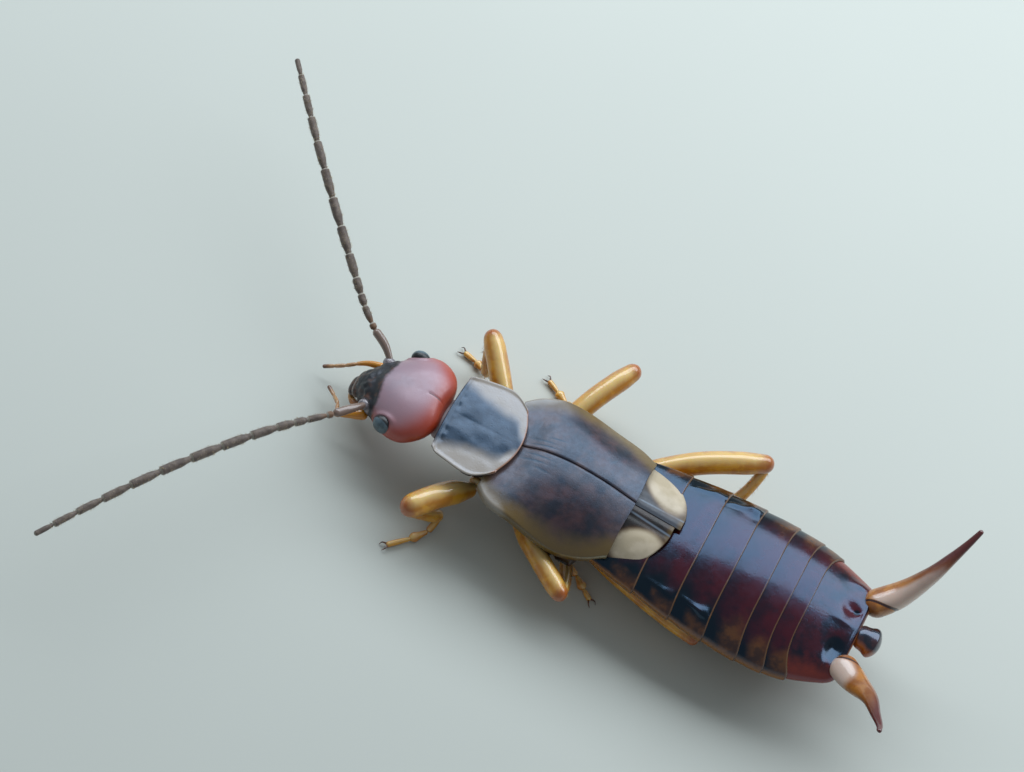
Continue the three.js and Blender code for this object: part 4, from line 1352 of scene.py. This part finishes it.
def foot_shape(ankle, toes):
    """Three joints, the middle one short and lobed, then two claws"""
    start = Vector(ankle)
    first, second, third = (Vector(p) for p in toes)

    ends = ((start, first), (first, second + (second - first) * 0.1), (second, third))

    def joint(a, b, wide, high, lobe):
        def section(t, turn):
            spread = 0.7 + 0.3 * smooth(t, 0, 0.6) + lobe * hill(t, 0.72, 0.22)
            return wide * spread, high * spread, leg_masks(t, turn, 1.0, 0.02)

        return limb((a, (a + b) / 2, b), section, along=24, around=18)

    parts = [joint(*pair, *size) for pair, size in zip(ends, FOOT_JOINTS)]
    ahead = (third - second).normalized()
    aside = UP.cross(ahead)
    claws = []
    for way in (1, -1):
        root = third - ahead * 0.03 + aside * 0.03 * way
        middle = root + ahead * 0.1 + aside * 0.06 * way + UP * 0.015
        tip = root + ahead * 0.17 + aside * 0.05 * way - UP * 0.06
        tip.z = max(tip.z, 0.02)
        claws.append(limb((root, middle, tip), claw_section, along=14, around=10))
    foot = joined(*parts)
    for vert in foot.verts:
        vert.co.z = max(vert.co.z, 0)
    return foot, joined(*claws)


def make_legs():
    for name, leg in LEGS.items():
        hip, trochanter, knee, ankle = (Vector(leg[key]) for key in ("hip", "trochanter", "knee", "ankle"))
        inward = (trochanter - hip) * 0.35
        middle = (trochanter + knee) / 2 + Vector(leg["bow"])
        shin_middle = (knee + ankle) / 2 + (knee - trochanter).normalized() * 0.04
        thigh_route = (trochanter - (knee - trochanter) * 0.02, middle, knee)
        foot, claws = foot_shape(leg["ankle"], leg["toes"])
        shin_route = (knee - (knee - trochanter).normalized() * 0.12, shin_middle, ankle)
        parts = {
            "coxa": leg_part((hip - inward * 0.3, (hip + trochanter) / 2, trochanter), hip_section, along=40),
            "femur": leg_part(thigh_route, thigh_section(leg["thigh"])),
            "tibia": leg_part(shin_route, shin_section),
            "tarsus": foot,
        }
        for part, shape in parts.items():
            deliver(shape, f"{part}_{name}", FINISH["amber"], "amber_cuticle", f"leg_{name}_{part}")
        deliver(claws, f"claws_{name}", FINISH["claw"], "amber_cuticle")
        bristles = coat(limb_form(shin_route, shin_section), **SHIN_BRISTLES)
        deliver(bristles, f"shin_bristles_{name}", FINISH["hair"], "amber_cuticle")


# Stage: pale floor, one long soft light, even light all round
FLOOR_HALF_WIDTH = 2.0


def make_floor():
    bm = bmesh.new()
    bmesh.ops.create_grid(bm, x_segments=2, y_segments=2, size=FLOOR_HALF_WIDTH)
    mesh = bpy.data.meshes.new("floor")
    bm.to_mesh(mesh)
    bm.free()
    material = bpy.data.materials.new("pale_floor")
    material.use_nodes = True
    shader = material.node_tree.nodes["Principled BSDF"]
    speckle = add(material.node_tree, "ShaderNodeTexNoise", Scale=300.0, Detail=2.0)
    tone = tint(material.node_tree, speckle.outputs["Fac"], shade("C4C7BF"), shade("C9CCC4"))
    material.node_tree.links.new(tone, shader.inputs["Base Color"])
    shader.inputs["Roughness"].default_value = 0.9
    mesh.materials.append(material)
    floor = bpy.data.objects.new("floor", mesh)
    bpy.context.scene.collection.objects.link(floor)


# The soft light: the way to it from the animal, its distance and size in metres, brightness and colour
WINDOW_DIRECTION = Vector((0, -0.69, 0.725))
WINDOW_DISTANCE = 0.06
WINDOW_SIZE = (0.15, 0.04)
WINDOW_RADIANCE = 4.2
WINDOW_COLOUR = (0.84, 0.92, 1.0)
SKY_STRENGTH = 0.33


def make_light():
    """A soft panel of light that looks at the middle of the animal"""
    light = bpy.data.lights.new("long_window", "AREA")
    light.shape = "RECTANGLE"
    light.size, light.size_y = WINDOW_SIZE
    light.energy = WINDOW_RADIANCE * math.pi * WINDOW_SIZE[0] * WINDOW_SIZE[1]
    light.color = WINDOW_COLOUR
    panel = bpy.data.objects.new("long_window", light)
    away = WINDOW_DIRECTION.normalized()
    panel.location = away * WINDOW_DISTANCE
    across = Vector((1, 0, 0))
    side = away.cross(across).normalized()
    panel.matrix_world = Matrix.Translation(panel.location) @ Matrix(
        (
            (across.x, side.x, away.x, 0),
            (across.y, side.y, away.y, 0),
            (across.z, side.z, away.z, 0),
            (0, 0, 0, 1),
        )
    )
    bpy.context.scene.collection.objects.link(panel)


def make_world():
    world = bpy.data.worlds.new("even_light")
    world.use_nodes = True
    sky = world.node_tree.nodes["Background"]
    sky.inputs["Color"].default_value = shade("D9E4EC")
    sky.inputs["Strength"].default_value = SKY_STRENGTH
    bpy.context.scene.world = world


# Camera, found from the photo
CAMERA_AZIMUTH = math.radians(5.0745)
CAMERA_ELEVATION = math.radians(60)
CAMERA_ROLL = math.radians(24.148)
CAMERA_TARGET = Vector((3.371, -1.515, 1.7))
CAMERA_DISTANCE = 100
CAMERA_LENS = 146.95
CAMERA_SENSOR = 36
CAMERA_CLIP = (0.005, 10)


def make_camera():
    camera = bpy.data.cameras.new("photo_view")
    camera.lens = CAMERA_LENS
    camera.sensor_width = CAMERA_SENSOR
    camera.clip_start, camera.clip_end = CAMERA_CLIP
    view = bpy.data.objects.new("photo_view", camera)
    back = Vector((
        -math.sin(CAMERA_AZIMUTH) * math.cos(CAMERA_ELEVATION),
        math.cos(CAMERA_AZIMUTH) * math.cos(CAMERA_ELEVATION),
        math.sin(CAMERA_ELEVATION),
    ))
    level = (-back).cross(UP).normalized()
    upright = level.cross(-back)
    right = math.cos(CAMERA_ROLL) * level + math.sin(CAMERA_ROLL) * upright
    over = -math.sin(CAMERA_ROLL) * level + math.cos(CAMERA_ROLL) * upright
    place = (CAMERA_TARGET + back * CAMERA_DISTANCE + SHIFT) * MM
    view.matrix_world = Matrix((
        (right.x, over.x, back.x, place.x),
        (right.y, over.y, back.y, place.y),
        (right.z, over.z, back.z, place.z),
        (0, 0, 0, 1),
    ))
    bpy.context.scene.collection.objects.link(view)
    bpy.context.scene.camera = view


make_camera()
make_head()
make_mouth()
make_palps()
make_feelers()
make_neck()
make_pronotum()
make_thorax()
make_wings()
make_abdomen()
make_last_ring()
make_knob()
make_forceps()
make_legs()
make_floor()
make_light()
make_world()
bpy.context.scene.view_settings.view_transform = "Standard"
